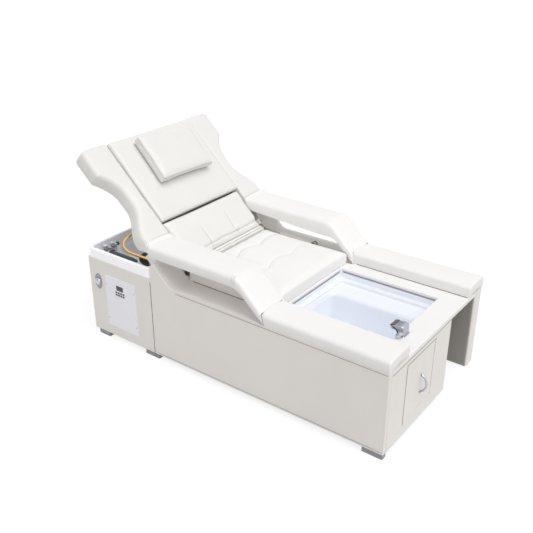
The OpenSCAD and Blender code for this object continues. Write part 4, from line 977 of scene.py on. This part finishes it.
def lumbar():
    w, l, t, band = 628.0, 258.0, 43.0, 40.0
    bed = Bed(back_point(LUMBAR_LOW, LUMBAR_BACK), BACK_ANGLE)
    obj = cushion("lumbar_pad", w, l, t, 22.0, 3.0, 2.0, 9, 6.0, bed, 14.0, back_leather)
    own = puffed(obj, bed, 5.5, 5.0)
    co = unplace(coords(obj))
    low = 1 - smooth_step((own[:, 1] - 44.0) / 26.0)
    narrow = 1 - low * 12.0 / w * 2 * (np.abs(own[:, 0]) > 120)
    co[:, 0] *= narrow
    set_coords(obj, place(co))
    top = smooth_step((own[:, 2] - 26.0) / 12.0)
    a = TUFT_X
    level = [(-318, band + 2), (-a, band - 1), (0, band + 3), (a, band - 1), (318, band + 2)]
    seams = [(level, 6.5, 12.0, 0, 0)]
    for side in (-1, 1):
        seams.append(([(side * a, band), (side * (a + 3), 110), (side * (a + 12), 200)], 6.5, 15.0, 0, 0.85))
    depth, dark = channels(own, seams)
    spots = [(-a, band), (a, band)]
    cloth = 0.6 * ripple(co, 90.0, 31) + 0.25 * ripple(co, 26.0, 32)
    gathers = bell(own[:, 1] - 16.0, 17.0) * np.sin(own[:, 1] / 3.6 + 4.0 * ripple(co, 150.0, 33)) * 0.8
    sewn = (-depth + tucks(own, spots, 55.0, 0.7, 6) + gathers) * top
    # the seams also get painted shade, on the top only
    relief(obj, sewn + cloth * smooth_step(own[:, 2] / 10.0) - 0.5, 0.75 * dark * top)
    return finish_piece(obj, "lumbar", ("lumbar_cushion",))


def head_pad():
    bed = Bed(back_point(-1.0, -45.0), BACK_ANGLE)
    obj = cushion("head_pad", 633.0, 512.0, 49.0, 36.0, 2.0, 0.8, 40, 8.0, bed, 11.0, back_leather)
    own = puffed(obj, bed, 6.5, 1.5)
    own[:, 2] *= 1.0 + 0.17 * (np.clip(own[:, 1], 0.0, 509.0) / 509.0) ** 2
    co = bed.put(own)
    set_coords(obj, place(co))
    cloth = 0.45 * ripple(co, 130.0, 41) + 0.12 * ripple(co, 30.0, 42)
    relief(obj, cloth * smooth_step(own[:, 2] / 8.0) - 0.3)
    return finish_piece(obj, "head_panel_unit", ("head_panel",))


def pillow():
    w, l, t = 392.0, 276.0, 76.0
    bed = Bed(back_point(184.0, 1.0), BACK_ANGLE + math.radians(1.2), 8.0, math.radians(1.6))
    obj = cushion("pillow_pad", w, l, t, 62.0, 4.0, 3.0, 20, 5.0, bed, 17.0, back_leather)
    own = puffed(obj, bed, 5.0, 3.0)
    co = unplace(coords(obj))
    cloth = 0.7 * ripple(co, 80.0, 51) + 0.3 * ripple(co, 24.0, 52)
    border = np.maximum(np.abs(own[:, 0]) - w / 2, np.abs(own[:, 1] - l / 2) - l / 2) + 16.0
    seam = bell(own[:, 2] - 56.0, 2.2) * smooth_step(border / 8.0)
    # the groove below the pillow's top edge also gets a little painted shade
    relief(obj, cloth * smooth_step(own[:, 2] / 10.0) - 0.5 - 1.6 * seam, 0.35 * seam)
    rim = np.array([(x, y, 53.0) for x, y in loop(w - 8.0, l - 8.0, 14.0, 10.0)])
    rim[:, 1] += l / 2
    base = rim * (0.99, 1.0, 0.0) + (0.0, 0.0, 4.0)
    unit = "head_panel_unit"
    # a dark tube along the pillow's lower edge, as painted shadow where it meets the panel
    welt("pillow_edge_shadow", 1.4, [laid_on(obj, bed.put(base), 0.0)], gap_shadow_material, unit)
    stitches("pillow_stitches", [laid_on(obj, bed.put(rim), 0.3)], unit, 5.5, 1.9)
    return finish_piece(obj, unit, ("head_pillow",))


def loop(w, l, r, step):
    """Points around a rounded rectangle about its centre, with its first point again at the end."""
    out = []
    for cx, cy, start in ((1, 1, 0), (-1, 1, 90), (-1, -1, 180), (1, -1, 270)):
        corner = [(cx * (w / 2 - r) + r * math.cos(a), cy * (l / 2 - r) + r * math.sin(a))
                  for a in np.radians(np.linspace(start, start + 90, 7))]
        if out:
            out += spaced_between(out[-1], corner[0], step)
        out += corner
    return out + spaced_between(out[-1], out[0], step) + [out[0]]


def spaced_between(a, b, step):
    a, b = np.asarray(a), np.asarray(b)
    n = max(1, int(np.linalg.norm(b - a) / step))
    return [tuple(a + (b - a) * k / n) for k in range(1, n)]


def gusset():
    """The loose fold of cover between seat and lumbar pad."""
    path = curve_through([(1246.0, 492.0), (1251.0, 515.0), (1257.0, 531.0), (1263.5, 528.0), (1268.0, 534.0),
                          (1276.0, 538.0), (1287.0, 529.0)], 5)
    rings = []
    for x in spaced(-300.0, 300.0, 9.0) + [300.0]:
        end = 1.0 - 0.8 * abs(x / 300.0) ** 14
        wave = 2.0 * noise.fractal(Vector((x / 46.0, 3.0, 9.0)), 0.6, 2.1, 2)
        lift = 3.0 * noise.fractal(Vector((x / 70.0, 8.0, 1.0)), 0.6, 2.1, 2)
        line = path + np.outer(np.sin(np.linspace(0, np.pi, len(path))), (wave, lift))
        along = np.gradient(line, axis=0)
        side = np.column_stack([-along[:, 1], along[:, 0]]) / np.linalg.norm(along, axis=1)[:, None]
        outline = np.vstack([line + side * 2.5 * end, (line - side * 2.5 * end)[::-1]])
        rings.append([(x, *p) for p in outline])
    obj = formed("seat_gusset", rings, top_leather)
    refined(obj)
    smoothed(obj.data)
    y = unplace(coords(obj))[:, 1]
    # painted shade along the gusset's three fold valleys
    dark = sum(share * bell(y - at, wide) for share, at, wide in ((0.9, 1264.0, 2.5), (0.8, 1250.0, 3.0),
                                                                 (0.7, 1286.0, 3.0)))
    relief(obj, np.zeros(len(y)), dark)
    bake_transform(obj)
    return obj


SKIRT_X = (-360.0, -354.0)


def seat_skirt():
    """The covered board that closes the space beside the seat, on the sitter's right."""
    front, rear, top = 884.0, 1241.0, DECK_Z + 64.0
    end = round_end(3.0, 4)
    places = [(front + f, inset) for f, inset in end]
    places += [(y, 0.0) for y in spaced(front + 5.0, rear - 3.0, 20.0)]
    places += [(rear - f, inset) for f, inset in end[::-1]]
    stations = [((y, DECK_Z), (y, top), *SKIRT_X, inset) for y, inset in places]
    obj = loft("seat_skirt", stations, side_leather, (2.5, 2.5), 1.0, 0.3, 0.3)
    relief(obj, 0.3 * ripple(unplace(coords(obj)), 60.0, 71))
    return finish_piece(obj, "base", ())


seat()
lumbar()
head_pad()
pillow()
gusset()
seat_skirt()

# Moulded tubs, each a shell through rounded rectangles
CORNER_POINTS = 9
TUB_HOLE, HOLE_R = (-290.0, 236.0, 126.0, 689.0), 9.0


def ring(box, r, z, out=0.0):
    """Points around a rounded rectangle (x0, x1, y0, y1) grown by out on every side."""
    x0, x1, y0, y1 = box[0] - out, box[1] + out, box[2] - out, box[3] + out
    r = min(max(r + out, 4.0), (x1 - x0) / 2 - 0.1, (y1 - y0) / 2 - 0.1)
    points = []
    left, right, low, high = x0 + r, x1 - r, y0 + r, y1 - r
    for cx, cy, start in ((right, high, 0), (left, high, 90), (left, low, 180), (right, low, 270)):
        for a in np.radians(np.linspace(start, start + 90, CORNER_POINTS)):
            points.append((cx + r * math.cos(a), cy + r * math.sin(a), z))
    return points


def hollow(box, r, z, fillet, out=0.0):
    """Rings of the round between a wall above and a floor at z, from the wall inwards."""
    return [ring(box, r, z + fillet * (1 - math.sin(a)), out - fillet * (1 - math.cos(a))) for a in arc(7)]


def crest(box, r, z, fillet):
    """Rings of the round between a wall below and a top at z, from the wall inwards."""
    return [ring(box, r, z - fillet * (1 - math.sin(a)), -fillet * (1 - math.cos(a))) for a in arc(6)]


def stack(box, r, *steps):
    """Rings of one rounded rectangle at steps (z, out)."""
    return [ring(box, r, z, out) for z, out in steps]


def brow(box, r, z, fillet, out=0.0, n=7):
    """Rings of the round between a floor at z and a wall below, from the floor inwards."""
    return [ring(box, r, z - fillet * (1 - math.cos(a)), out + fillet * (1 - math.sin(a))) for a in arc(n)]


def shell(name, rings, material, node):
    return finish_piece(formed(name, rings, material, 50.0, True), "base", (node,))


def foot_tub():
    tub, well, r, t = TUB_HOLE, (-255.0, 98.0, 161.0, 654.0), 34.0, 5.0
    flange = (TUB_HOLE[0] - 18.0, TUB_HOLE[1] + 18.0, 108.0, 700.0)
    ledge = (tub[0] + 18.0, tub[1] - 24.0, tub[2] + 20.0, tub[3] - 22.0)
    drain = (-100.0, -52.0, 383.5, 431.5)
    top, rest, shelf, floor = DECK_Z - 12.0, DECK_Z - 56.0, DECK_Z - 75.0, DECK_Z - 314.0
    rings = stack(flange, r, (top - 6, 0.0), (top - 0.6, 0.0), (top, -0.6))
    rings += stack(tub, HOLE_R, (top, 2.0), (top - 2.0, 0.0))
    rings += hollow(tub, 20.0, rest, 10.0) + brow(ledge, 24.0, rest, 5.0) + hollow(ledge, 24.0, shelf, 8.0)
    rings += brow(well, r, shelf, 26.0) + hollow(well, r, floor, 46.0, -5.0)
    rings += stack(drain, 24.0, (floor, 12.0), (floor, 0.0), (floor - t, 0.0))
    rings += stack(well, r, (floor - t, -40.0), (floor + 30.0, t), (shelf - 26.0, t), (shelf - t, 28.0))
    rings += stack(tub, 20.0, (shelf - t, t)) + stack(tub, HOLE_R, (top - 6.0, t))
    shell("foot_tub_shell", rings, acrylic, "foot_tub")


def basin():
    rim, opening = (-498.0, 498.0, 1396.0, 1863.0), (-480.0, 480.0, 1414.0, 1845.0)
    tray, bowl = (-473.0, 473.0, 1421.0, 1837.0), (-336.0, 336.0, 1440.0, 1815.0)
    drain = (-24.0, 24.0, 1603.5, 1651.5)
    tray_z, bowl_z, t, lip = 471.0, 337.0, 6.0, 7.0
    rings = stack(rim, CABINET_R, (CABINET_Z, 0.0), (RIM_Z - 26.0, 0.0)) + crest(rim, CABINET_R, RIM_Z, lip)
    rings += brow(opening, 24.0, RIM_Z, lip, n=6)
    rings += stack(opening, 24.0, (CABINET_Z + 9.0, 0.0)) + stack(tray, 30.0, (CABINET_Z + 2.0, 0.0))
    rings += hollow(tray, 30.0, tray_z, 9.0)[1:] + brow(bowl, 60.0, tray_z, 10.0)
    rings += hollow(bowl, 60.0, bowl_z, 52.0, -4.0)
    rings += stack(drain, 24.0, (bowl_z, 12.0), (bowl_z, 0.0), (bowl_z - t, 0.0))
    rings += stack(bowl, 60.0, (bowl_z - t, -46.0), (bowl_z + 34.0, t), (tray_z - t, t))
    rings += stack(tray, 30.0, (tray_z - t, t), (CABINET_Z, t))
    shell("basin_shell", rings, basin_paint(), "shampoo_basin")


def basin_paint():
    """Pearl white acrylic on the rim's outside and top, pale grey inside it."""
    m = Shader("basin_acrylic")
    x0, y0 = place((0.0, 1629.5, 0.0))[0][:2]
    x, y, z = m.parts(m.where())
    across, along = abs(x - x0), abs(y - y0)
    inside = m.range(across, 0.4806, 0.4814, 1.0, 0.0) * m.range(along, 0.2166, 0.2174, 1.0, 0.0)
    inside = inside * m.range(z, RIM_Z / 1000.0 - 0.004, RIM_Z / 1000.0 - 0.003, 1.0, 0.0)
    dust = m.noise(14.0, 5.0, 0.6)
    grey = m.mix(m.range(dust, 0.35, 0.75), srgb(226, 229, 236), srgb(218, 221, 228))
    # the basin also glows faintly, a painted glow that lightens its shaded inside
    return m.moulded(m.mix(inside, srgb(253, 253, 255), grey), dust, 0.18, 0.3, srgb(240, 242, 255), 0.12)


def deck_board():
    """The covered board around the foot tub, its opening widened to the tub's far wall."""
    board, low, edge = (-478.0, PANEL_IN, 0.0, 707.0), DECK_Z - DECK_T, 4.0
    wall = DECK_Z - edge - 1.5
    rings = stack(board, edge, (low, -3.0), (low, -1.5), (low + 1.5, 0.0), (low + 3.0, 0.0), (wall, 0.0))
    rings += crest(board, edge, DECK_Z, edge) + stack(board, edge, (DECK_Z, -edge - 2.0))
    rings += stack(TUB_HOLE, HOLE_R, (DECK_Z, edge + 2.0)) + brow(TUB_HOLE, HOLE_R, DECK_Z, edge, n=6)
    rings += stack(TUB_HOLE, HOLE_R, (wall, 0.0), (low, 0.0))
    shell("deck_board", rings, top_leather, "deck")


foot_tub()
basin()
deck_board()

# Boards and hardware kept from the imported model, with their edges eased


EASED_ANGLE = 35.0


def eased(node, material, width, body, segments=3, wide=None, cuts=()):
    """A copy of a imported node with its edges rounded.

    wide(a, b) gives the share of the width that an edge gets. cuts are the x of upright planes that keep
    a wall's holes apart from its wide roundings.
    """
    mesh = frame["nodes"][node].data.copy()
    obj = linked(node + "_finished", mesh)
    edit = bmesh.new()
    edit.from_mesh(mesh)
    bmesh.ops.remove_doubles(edit, verts=edit.verts, dist=1e-5)
    for x in cuts:
        spot = place((x, 0.0, 0.0))[0]
        cut = bmesh.ops.bisect_plane(edit, geom=[*edit.verts, *edit.edges, *edit.faces], dist=1e-6,
                                     plane_co=spot, plane_no=(1.0, 0.0, 0.0))
        for part in cut["geom_cut"]:
            if isinstance(part, bmesh.types.BMEdge):
                part.seam = True
    bmesh.ops.dissolve_limit(edit, angle_limit=math.radians(0.5), verts=edit.verts, edges=edit.edges,
                             delimit={"SEAM"})
    if wide:
        weight = edit.edges.layers.float.new("bevel_weight_edge")
        for e in edit.edges:
            if len(e.link_faces) == 2 and e.calc_face_angle(0.0) > math.radians(EASED_ANGLE):
                a, b = unplace([e.verts[0].co, e.verts[1].co])
                e[weight] = wide(a, b)
    edit.to_mesh(mesh)
    edit.free()
    smoothed(mesh, EASED_ANGLE)
    painted(mesh, material)
    bevel = obj.modifiers.new("bevel", "BEVEL")
    bevel.width, bevel.segments, bevel.limit_method = width / 1000.0, segments, "WEIGHT" if wide else "ANGLE"
    bevel.angle_limit, bevel.use_clamp_overlap = math.radians(EASED_ANGLE), not wide
    bevel.harden_normals = True
    apply_modifiers(obj)
    return finish_piece(obj, body, (node,))


def cabinet_edge(a, b):
    """The cabinet's upright rear corners are rounded far more than its other edges."""
    on_side = min(abs(a[0]), abs(b[0])) > HALF_W - 1
    on_rear = min(a[1], b[1]) > REAR_Y - 1
    if on_side and on_rear and abs(a[2] - b[2]) > 400:
        return 1.0
    return 0.12 if on_side or on_rear else 0.03


def panel_edge(a, b):
    """The left panel's upright front edges are well rounded, as its wadding wraps them."""
    return 1.0 if max(a[1], b[1]) < 1.0 and abs(a[2] - b[2]) > 300 else 0.35


BESIDE_ROUND = HALF_W - CABINET_R - 14.0
eased("wash_cabinet", side_leather, CABINET_R, "base", 8, cabinet_edge, (-BESIDE_ROUND, BESIDE_ROUND))
eased("right_side_panel", side_leather, 4.0, "base")
eased("left_side_panel", panel_leather, 20.0, "base", 6, panel_edge)
eased("rear_corners", side_leather, 3.0, "base")
eased("foot_box", side_leather, 2.5, "base")
eased("hatch_door", side_leather, 2.0, "hatch")
eased("seat_base", side_leather, 3.0, "base")
eased("neck_rest", rubber, 2.5, "base")
eased("spout_knob", chrome, 1.5, "spout_tap")
eased("control_plate", film, 0.8, "base")
eased("display", black_gloss, 0.5, "base")
eased("control_box", dark_plastic, 1.0, "base")
eased("feet", foot_plastic, 9.5, "base", 4)
eased("hot_handle", chrome, 2.0, "hot_tap")
eased("cold_handle", chrome, 2.0, "cold_tap")
eased("mixer_body", chrome, 1.0, "base")
eased("hand_shower", dark_plastic, 2.0, "shower")
for k in range(1, 9):
    eased("key_%d" % k, black_gloss, 0.8, "button_%d" % k)
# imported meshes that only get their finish
KEPT = {
    "base_frame": dark_paint, "spring_brackets": frame_paint, "gas_spring_tubes": cream_plastic,
    "gas_spring_rods": steel, "hinge_brackets": frame_paint, "back_levers": frame_paint,
    "back_frame": frame_paint, "lumbar_brackets": frame_paint, "lumbar_board": side_leather,
    "panel_hinges": steel, "head_panel_board": ply, "tub_drain": chrome, "basin_drain": chrome,
    "arch_pivots": gold, "water_arch": gold, "hatch_handle": ribbed_chrome, "plate_screws": steel,
    "heater_tank": steel, "circulation_pump": dark_plastic,
}
for node, material in KEPT.items():
    painted(frame["nodes"][node].data, material)

# Small parts

SPOUT_X, SPOUT_Y, SPOUT_HALF = -180.0, 92.0, 28.0
brown_gloss = gloss("dark_brown_gloss", srgb(66, 44, 36), 0.15)
white_cap = gloss("white_cap", srgb(240, 238, 234), 0.2)


def at_spout(x, y, z):
    return SPOUT_X + x, SPOUT_Y + y, DECK_Z + z


def spout():
    """The waterfall spout: a chrome hood that leans over the tub, with a dark mouth and a ribbed back."""
    side = [(-2.0, 0.0), (-2.0, 40.0), (2.0, 50.0), (12.0, 54.0), (52.0, 50.0), (62.0, 46.0), (66.0, 38.0),
            (63.0, 30.0), (58.0, 27.0), (30.0, 30.0), (28.0, 0.0)]
    middle, half = np.mean(side, axis=0), SPOUT_HALF
    rings = []
    for x, shrink in ((-28.0, 3.0), (-27.0, 1.0), (-25.0, 0.0), (25.0, 0.0), (27.0, 1.0), (28.0, 3.0)):
        outline = [middle + (np.array(p) - middle) * (1 - shrink / 30.0) for p in side]
        rings.append([at_spout(x, y, max(z, 0.0)) for y, z in outline])
    obj = formed("spout_hood", rings, ribbed_chrome)
    soften = obj.modifiers.new("soften", "BEVEL")
    soften.width, soften.segments, soften.limit_method = 0.0016, 3, "ANGLE"
    soften.angle_limit = math.radians(25.0)
    apply_modifiers(obj)
    smoothed(obj.data, 35.0)
    finish_piece(obj, "base", ("waterfall_spout",))
    foot = (SPOUT_X - 34, SPOUT_X + 34, SPOUT_Y - 8, SPOUT_Y + 34)
    plate = stack(foot, 8.0, (DECK_Z, 0.0), (DECK_Z + 3.5, 0.0), (DECK_Z + 5.0, -1.5))
    finish_piece(formed("spout_foot", plate, chrome, 40.0), "base", ())
    pin = [(5.0, 0.0), (5.0, 27.0)]
    rod = turned("spout_pin", pin, at_spout(-half - 24.0, 12.0, 20.0), (1, 0, 0), steel, 20)
    finish_piece(rod, "base", ())
    mouth = [(46.0, 47.0), (48.0, 53.0), (66.0, 50.0), (70.0, 45.0), (66.0, 42.0), (56.0, 44.0)]
    lip = [[at_spout(x, y - shrink, z - shrink) for y, z in mouth]
           for x, shrink in ((-27.5, 0.6), (-26.5, 0.0), (26.5, 0.0), (27.5, 0.6))]
    finish_piece(formed("spout_lip", lip, brown_gloss, smooth=False), "base", ())
    # black rubber tubes along both sides of the hood stand for the shadow gap under it, as painted shadow
    slot = curve_through([(56.0, 40.0), (44.0, 36.0), (33.0, 26.0), (28.0, 16.0), (28.0, 6.0)], 6)
    for name, x in (("near", -half - 0.2), ("far", half + 0.2)):
        path = [at_spout(x, y, z) for y, z in slot]
        welt("spout_slot_shadow_" + name, 2.6, [path], rubber, "base")
    ribs = [[at_spout(x, 14.0 + 30.0 * q, 54.4 - 2.6 * q) for x in np.linspace(-25, 25, 8)]
            for q in np.linspace(0.0, 1.0, 7)]
    welt("spout_ribs", 1.3, ribs, ribbed_chrome, "base")


spout()


def tap_details():
    """White caps on the valve knobs, a brass nut at the mixer's outlet and a rose on the hand shower."""
    mixer_y, top = 1806.0, 528.0
    dome = [(10.0, -0.2), (10.5, 1.5), (9.5, 3.6), (6.0, 5.2), (0.3, 5.8)]
    for name, x, body in (("hot_cap", -420.0, "hot_tap"), ("cold_cap", -368.0, "cold_tap")):
        finish_piece(turned(name, dome, (x, mixer_y, top), (0, 0, 1), white_cap, 32), body, ())
    nut = [(0.3, 0.0), (11.5, 0.0), (11.5, 8.0), (9.0, 9.0), (9.0, 14.0), (7.5, 15.0), (0.3, 15.0)]
    outlet = turned("outlet_nut", nut, (-341.0, mixer_y - 10.0, 510.0), (0, 0, 1), brown_gloss, 6)
    finish_piece(outlet, "base", ())
    rose = [(0.3, 0.0), (14.0, 0.0), (15.5, 1.2), (15.0, 2.4), (0.3, 2.8)]
    x, y, z = -427.0, 1752.0, 507.0
    face = turned("shower_rose", rose, (x, y, z), (0, 1, 0), black_gloss, 36)
    finish_piece(face, "shower", ())
    holes = [(x + r * math.cos(a), y + 2.9, z + r * math.sin(a))
             for r, n in ((4.0, 6), (8.0, 12), (12.0, 18)) for a in around(n)]
    studs("shower_nozzles", (0.7, 0.7, 0.6), Matrix.Rotation(math.pi / 2, 3, "X"), holes, rubber, "shower")


DIAL_OVAL = 0.56


def dial():
    """The flat dial on the cabinet's side: a flange with round marks, and a low knob with a pointer."""
    y, z, r = 1796.0, 346.0, 39.0
    flange = [(0.3, -1.5), (43.0, -1.5), (46.0, 0.0), (46.5, 2.2), (46.0, 3.6), (44.0, 4.4), (34.0, 5.0),
              (33.0, 4.6), (0.3, 4.4)]
    oval = turned("dial_flange", flange, (-HALF_W, y, z), (-1, 0, 0), satin, 56)
    co = unplace(coords(oval))
    co[:, 1] = y + (co[:, 1] - y) * DIAL_OVAL
    set_coords(oval, place(co))
    finish_piece(oval, "base", ("dial_ring",))
    knob = [(0.3, 4.2), (19.0, 4.2), (20.0, 5.0), (19.6, 9.0), (18.6, 10.2), (10.0, 10.8), (9.0, 10.4),
            (0.3, 10.2)]
    finish_piece(turned("dial_knob_face", knob, (-HALF_W, y, z), (-1, 0, 0), pale_satin, 56), "dial",
                 ("dial_knob",))
    marks = [(-HALF_W - 5.0, y + DIAL_OVAL * r * math.cos(a), z + r * math.sin(a))
             for a in around(12)]
    face = Matrix.Rotation(math.pi / 2, 3, "Y")
    studs("dial_marks", (1.5, 1.5, 0.5), face, marks, dark_paint, "base")
    pointer = [(-HALF_W - 10.4, y, z + q) for q in np.linspace(6.0, 17.0, 6)]
    welt("dial_pointer", 1.5, [pointer], dark_paint, "dial")


def bracket_screws():
    """Round-headed screws in the feet of the brackets on the seat board."""
    spots = []
    top = DECK_Z + 4.0
    for side in (-1, 1):
        spots += [(side * 337.0 + x, 930.0 + y, top) for x in (-8, 8) for y in (-33, -22, 22, 33)]
        spots += [(side * 321.5, 1300.0 + y, top) for y in (-20, 20)]
    studs("bracket_screws", (3.6, 3.6, 2.2), Matrix.Identity(3), spots, steel, "base")


def cover_seams():
    """Piping and stitch rows on the covered boards."""
    x, z, r = -HALF_W + 0.6, DECK_Z - 1.5, 6.0
    side_top = [(x, y, z) for y in spaced(9.0, BODY_L - 170.0, 20.0)]
    corner = [(x + r * (1 - math.cos(a)), 7.0 - r * math.sin(a), z) for a in arc(6)]
    front = [(x, 0.9, z) for x in spaced(-HALF_W + 8.0, -RAIL_IN + 2.0, 20.0)]
    welt("side_welt", 2.1, [side_top[::-1] + corner + front], side_leather)
    row = [(-HALF_W - 0.25, y, DECK_Z - 9.0) for y in spaced(14.0, BODY_L - 180.0, 24.0)]
    stitches("side_stitches", [row], "base")
    for side, obj in arms.items():
        edge = side * (HALF_W - 5.0)
        line = [(edge, y, ARM_TOP - 4.0) for y in spaced(BEND_Y + 60.0, BODY_L - 24.0, 12.0)]
        stitches("arm_stitches_" + SIDE_NAME[side], [laid_on(obj, line, 0.1)], "base")


def seam_shadows():
    """Thin dark tubes as painted shadow in the gaps where covers and boards meet."""
    def lines(name, radius, paths, slot="side"):
        welt(name, radius, paths, gap_shadow_material, "base")

    out = HALF_W + 0.2
    lines("side_seam_shadow_top", 0.9, [[(-out, y, DECK_Z - 12.5) for y in spaced(8.0, BODY_L - 160.0, 20.0)]])
    lines("side_seam_shadow_low", 0.9, [[(-out, y, 41.0) for y in spaced(6.0, BODY_L, 20.0)]])
    lines("cabinet_seam_shadow", 1.1, [[(-out, BODY_L, z) for z in spaced(30.0, 480.0, 20.0)]])
    x0, x1, z0, z1 = -328.6, -43.4, 87.4, 412.6
    hatch = [(x0, -0.2, z) for z in spaced(z0, z1, 20.0)] + [(x, -0.2, z1) for x in spaced(x0, x1, 20.0)]
    lines("hatch_gap_shadow", 1.3, [hatch + [(x1, -0.2, z1), (x1, -0.2, z1 - 8.0)]])
    lines("deck_seam_shadow", 0.8, [[(x, -0.4, DECK_Z - DECK_T) for x in spaced(-470.0, 412.0, 20.0)]])
    z = DECK_Z + 1.0
    rails = [[(side * (RAIL_IN - 0.6), y, z) for y in spaced(8.0, SLOPE_Y, 20.0)] for side in (-1, 1)]
    lines("rail_foot_seam_shadows", 1.7, rails, "leather")
    feet = [[(side * (ARM_IN - 0.4), y, z) for y in (664.0, 700.0)] for side in (-1, 1)]
    lines("arm_foot_seam_shadows", 1.2, feet, "leather")
    low, high = SLOPE_Y, SLOPE_Y + JOINT_LEAN
    joints = []
    for side in (-1, 1):
        across = [(side * x, high, RAIL_TOP - 2.2) for x in np.linspace(RAIL_IN + 6.0, HALF_W - 8.0, 12)]
        drop = DECK_Z - RAIL_TOP + 12.0
        down = [(side * (HALF_W - 2.6), high + (low - high) * q, RAIL_TOP - 10.0 + drop * q)
                for q in np.linspace(0.0, 1.0, 8)]
        joints.append(across + down)
    lines("arm_rail_seam_shadows", 1.9, joints, "leather")
    lines("skirt_gap_shadow", 1.5, [[(SKIRT_X[0] - 0.9, y, DECK_Z + 1.3) for y in spaced(886.0, 1240.0, 20.0)]])
    rear = curve_through([(500.0, 1389.0, 653.0), (470.0, 1407.0, 670.0), (422.0, 1419.0, 681.0),
                          (363.0, 1419.0, 681.5), (317.0, 1411.5, 674.0)], 8)
    for side, obj in arms.items():
        path = laid_on(obj, [(side * x, y, z) for x, y, z in rear], 0.4)
        lines("wing_seam_shadow_" + SIDE_NAME[side], 1.2, [path], "leather")


tap_details()
dial()
bracket_screws()
cover_seams()
seam_shadows()

# Floor, light and camera
KEY, FILL, SKY = 1.62, 0.37, 0.54


def seen_directly(nodes):
    """1 for camera, glossy and transmission rays, else 0."""
    path = nodes.tree.nodes.new("ShaderNodeLightPath")
    rays = [Value(nodes, path.outputs[k]) for k in ("Is Camera Ray", "Is Glossy Ray", "Is Transmission Ray")]
    both = nodes.node("ShaderNodeMath", {"operation": "MAXIMUM"}, {0: rays[0], 1: rays[1]})
    return nodes.node("ShaderNodeMath", {"operation": "MAXIMUM"}, {0: both, 1: rays[2]})


def floor():
    """A pale floor that looks white where the chair throws no shadow."""
    far = 30.0
    mesh = bpy.data.meshes.new("floor")
    corners = [(-far, -far, 0), (far, -far, 0), (far, far, 0), (-far, far, 0)]
    mesh.from_pydata(corners, [], [(0, 1, 2, 3)])
    m = Shader("studio_floor")
    pale = m.node("ShaderNodeBsdfDiffuse", None, {"Color": (0.62, 0.6, 0.58, 1.0)}, "BSDF")
    faint = m.node("ShaderNodeBsdfDiffuse", None, {"Color": (0.22, 0.22, 0.22, 1.0)}, "BSDF")
    white = m.node("ShaderNodeEmission", None, {"Color": (1.0, 1.0, 1.0, 1.0), "Strength": 0.82}, "Emission")
    shown = m.node("ShaderNodeAddShader", None, {0: faint, 1: white})
    mixed = m.node("ShaderNodeMixShader", None, {0: seen_directly(m), 1: pale, 2: shown})
    m.tree.links.new(mixed.socket, m.output.inputs["Surface"])
    mesh.materials.append(m.material)
    linked("floor", mesh)


def sun(name, towards, strength, spread):
    """A soft sun: towards is the direction from the chair to the light."""
    lamp = bpy.data.lights.new(name, "SUN")
    lamp.energy, lamp.angle = strength, math.radians(spread)
    linked(name, lamp).rotation_euler = Vector(towards).to_track_quat("Z", "Y").to_euler()


def world():
    made = bpy.data.worlds.new("studio")
    bpy.context.scene.world = made
    made.use_nodes = True
    nodes = Nodes(made.node_tree)
    nodes.tree.nodes.clear()
    soft = nodes.node("ShaderNodeBackground", None, {"Color": (0.98, 0.99, 1.0, 1.0), "Strength": SKY})
    white = nodes.node("ShaderNodeBackground", None, {"Color": (1.0, 1.0, 1.0, 1.0), "Strength": 1.0})
    mixed = nodes.node("ShaderNodeMixShader", None, {0: seen_directly(nodes), 1: soft, 2: white})
    out = nodes.tree.nodes.new("ShaderNodeOutputWorld")
    nodes.tree.links.new(mixed.socket, out.inputs["Surface"])


def camera():
    """The photograph's standpoint, worked out from the chair's own corners."""
    cam = bpy.data.cameras.new("camera")
    obj = linked("camera", cam)
    eye = (-2879.9, -1125.5, 2241.5)
    yaw, pitch, roll = math.radians(36.606), math.radians(26.317), math.radians(-0.059)
    focal_px, image_px = 744.39, 533.0
    forward = Vector((math.cos(yaw) * math.cos(pitch), math.sin(yaw) * math.cos(pitch), -math.sin(pitch)))
    right = Vector((math.sin(yaw), -math.cos(yaw), 0.0))
    up = right.cross(forward)
    turn = Matrix.Rotation(roll, 3, forward)
    right, up = turn @ right, turn @ up
    basis = Matrix((right, up, -forward)).transposed()
    obj.matrix_world = Matrix.Translation(Vector(place(eye)[0])) @ basis.to_4x4()
    cam.sensor_width = 36.0
    cam.lens = focal_px / image_px * cam.sensor_width
    cam.clip_start, cam.clip_end = 0.05, 100.0
    bpy.context.scene.camera = obj


floor()
world()
sun("key", (-0.05, -0.42, 0.905), KEY, 50.0)
sun("fill", (-0.92, -0.3, 0.25), FILL, 90.0)
camera()
bpy.context.scene.view_settings.view_transform = "Standard"
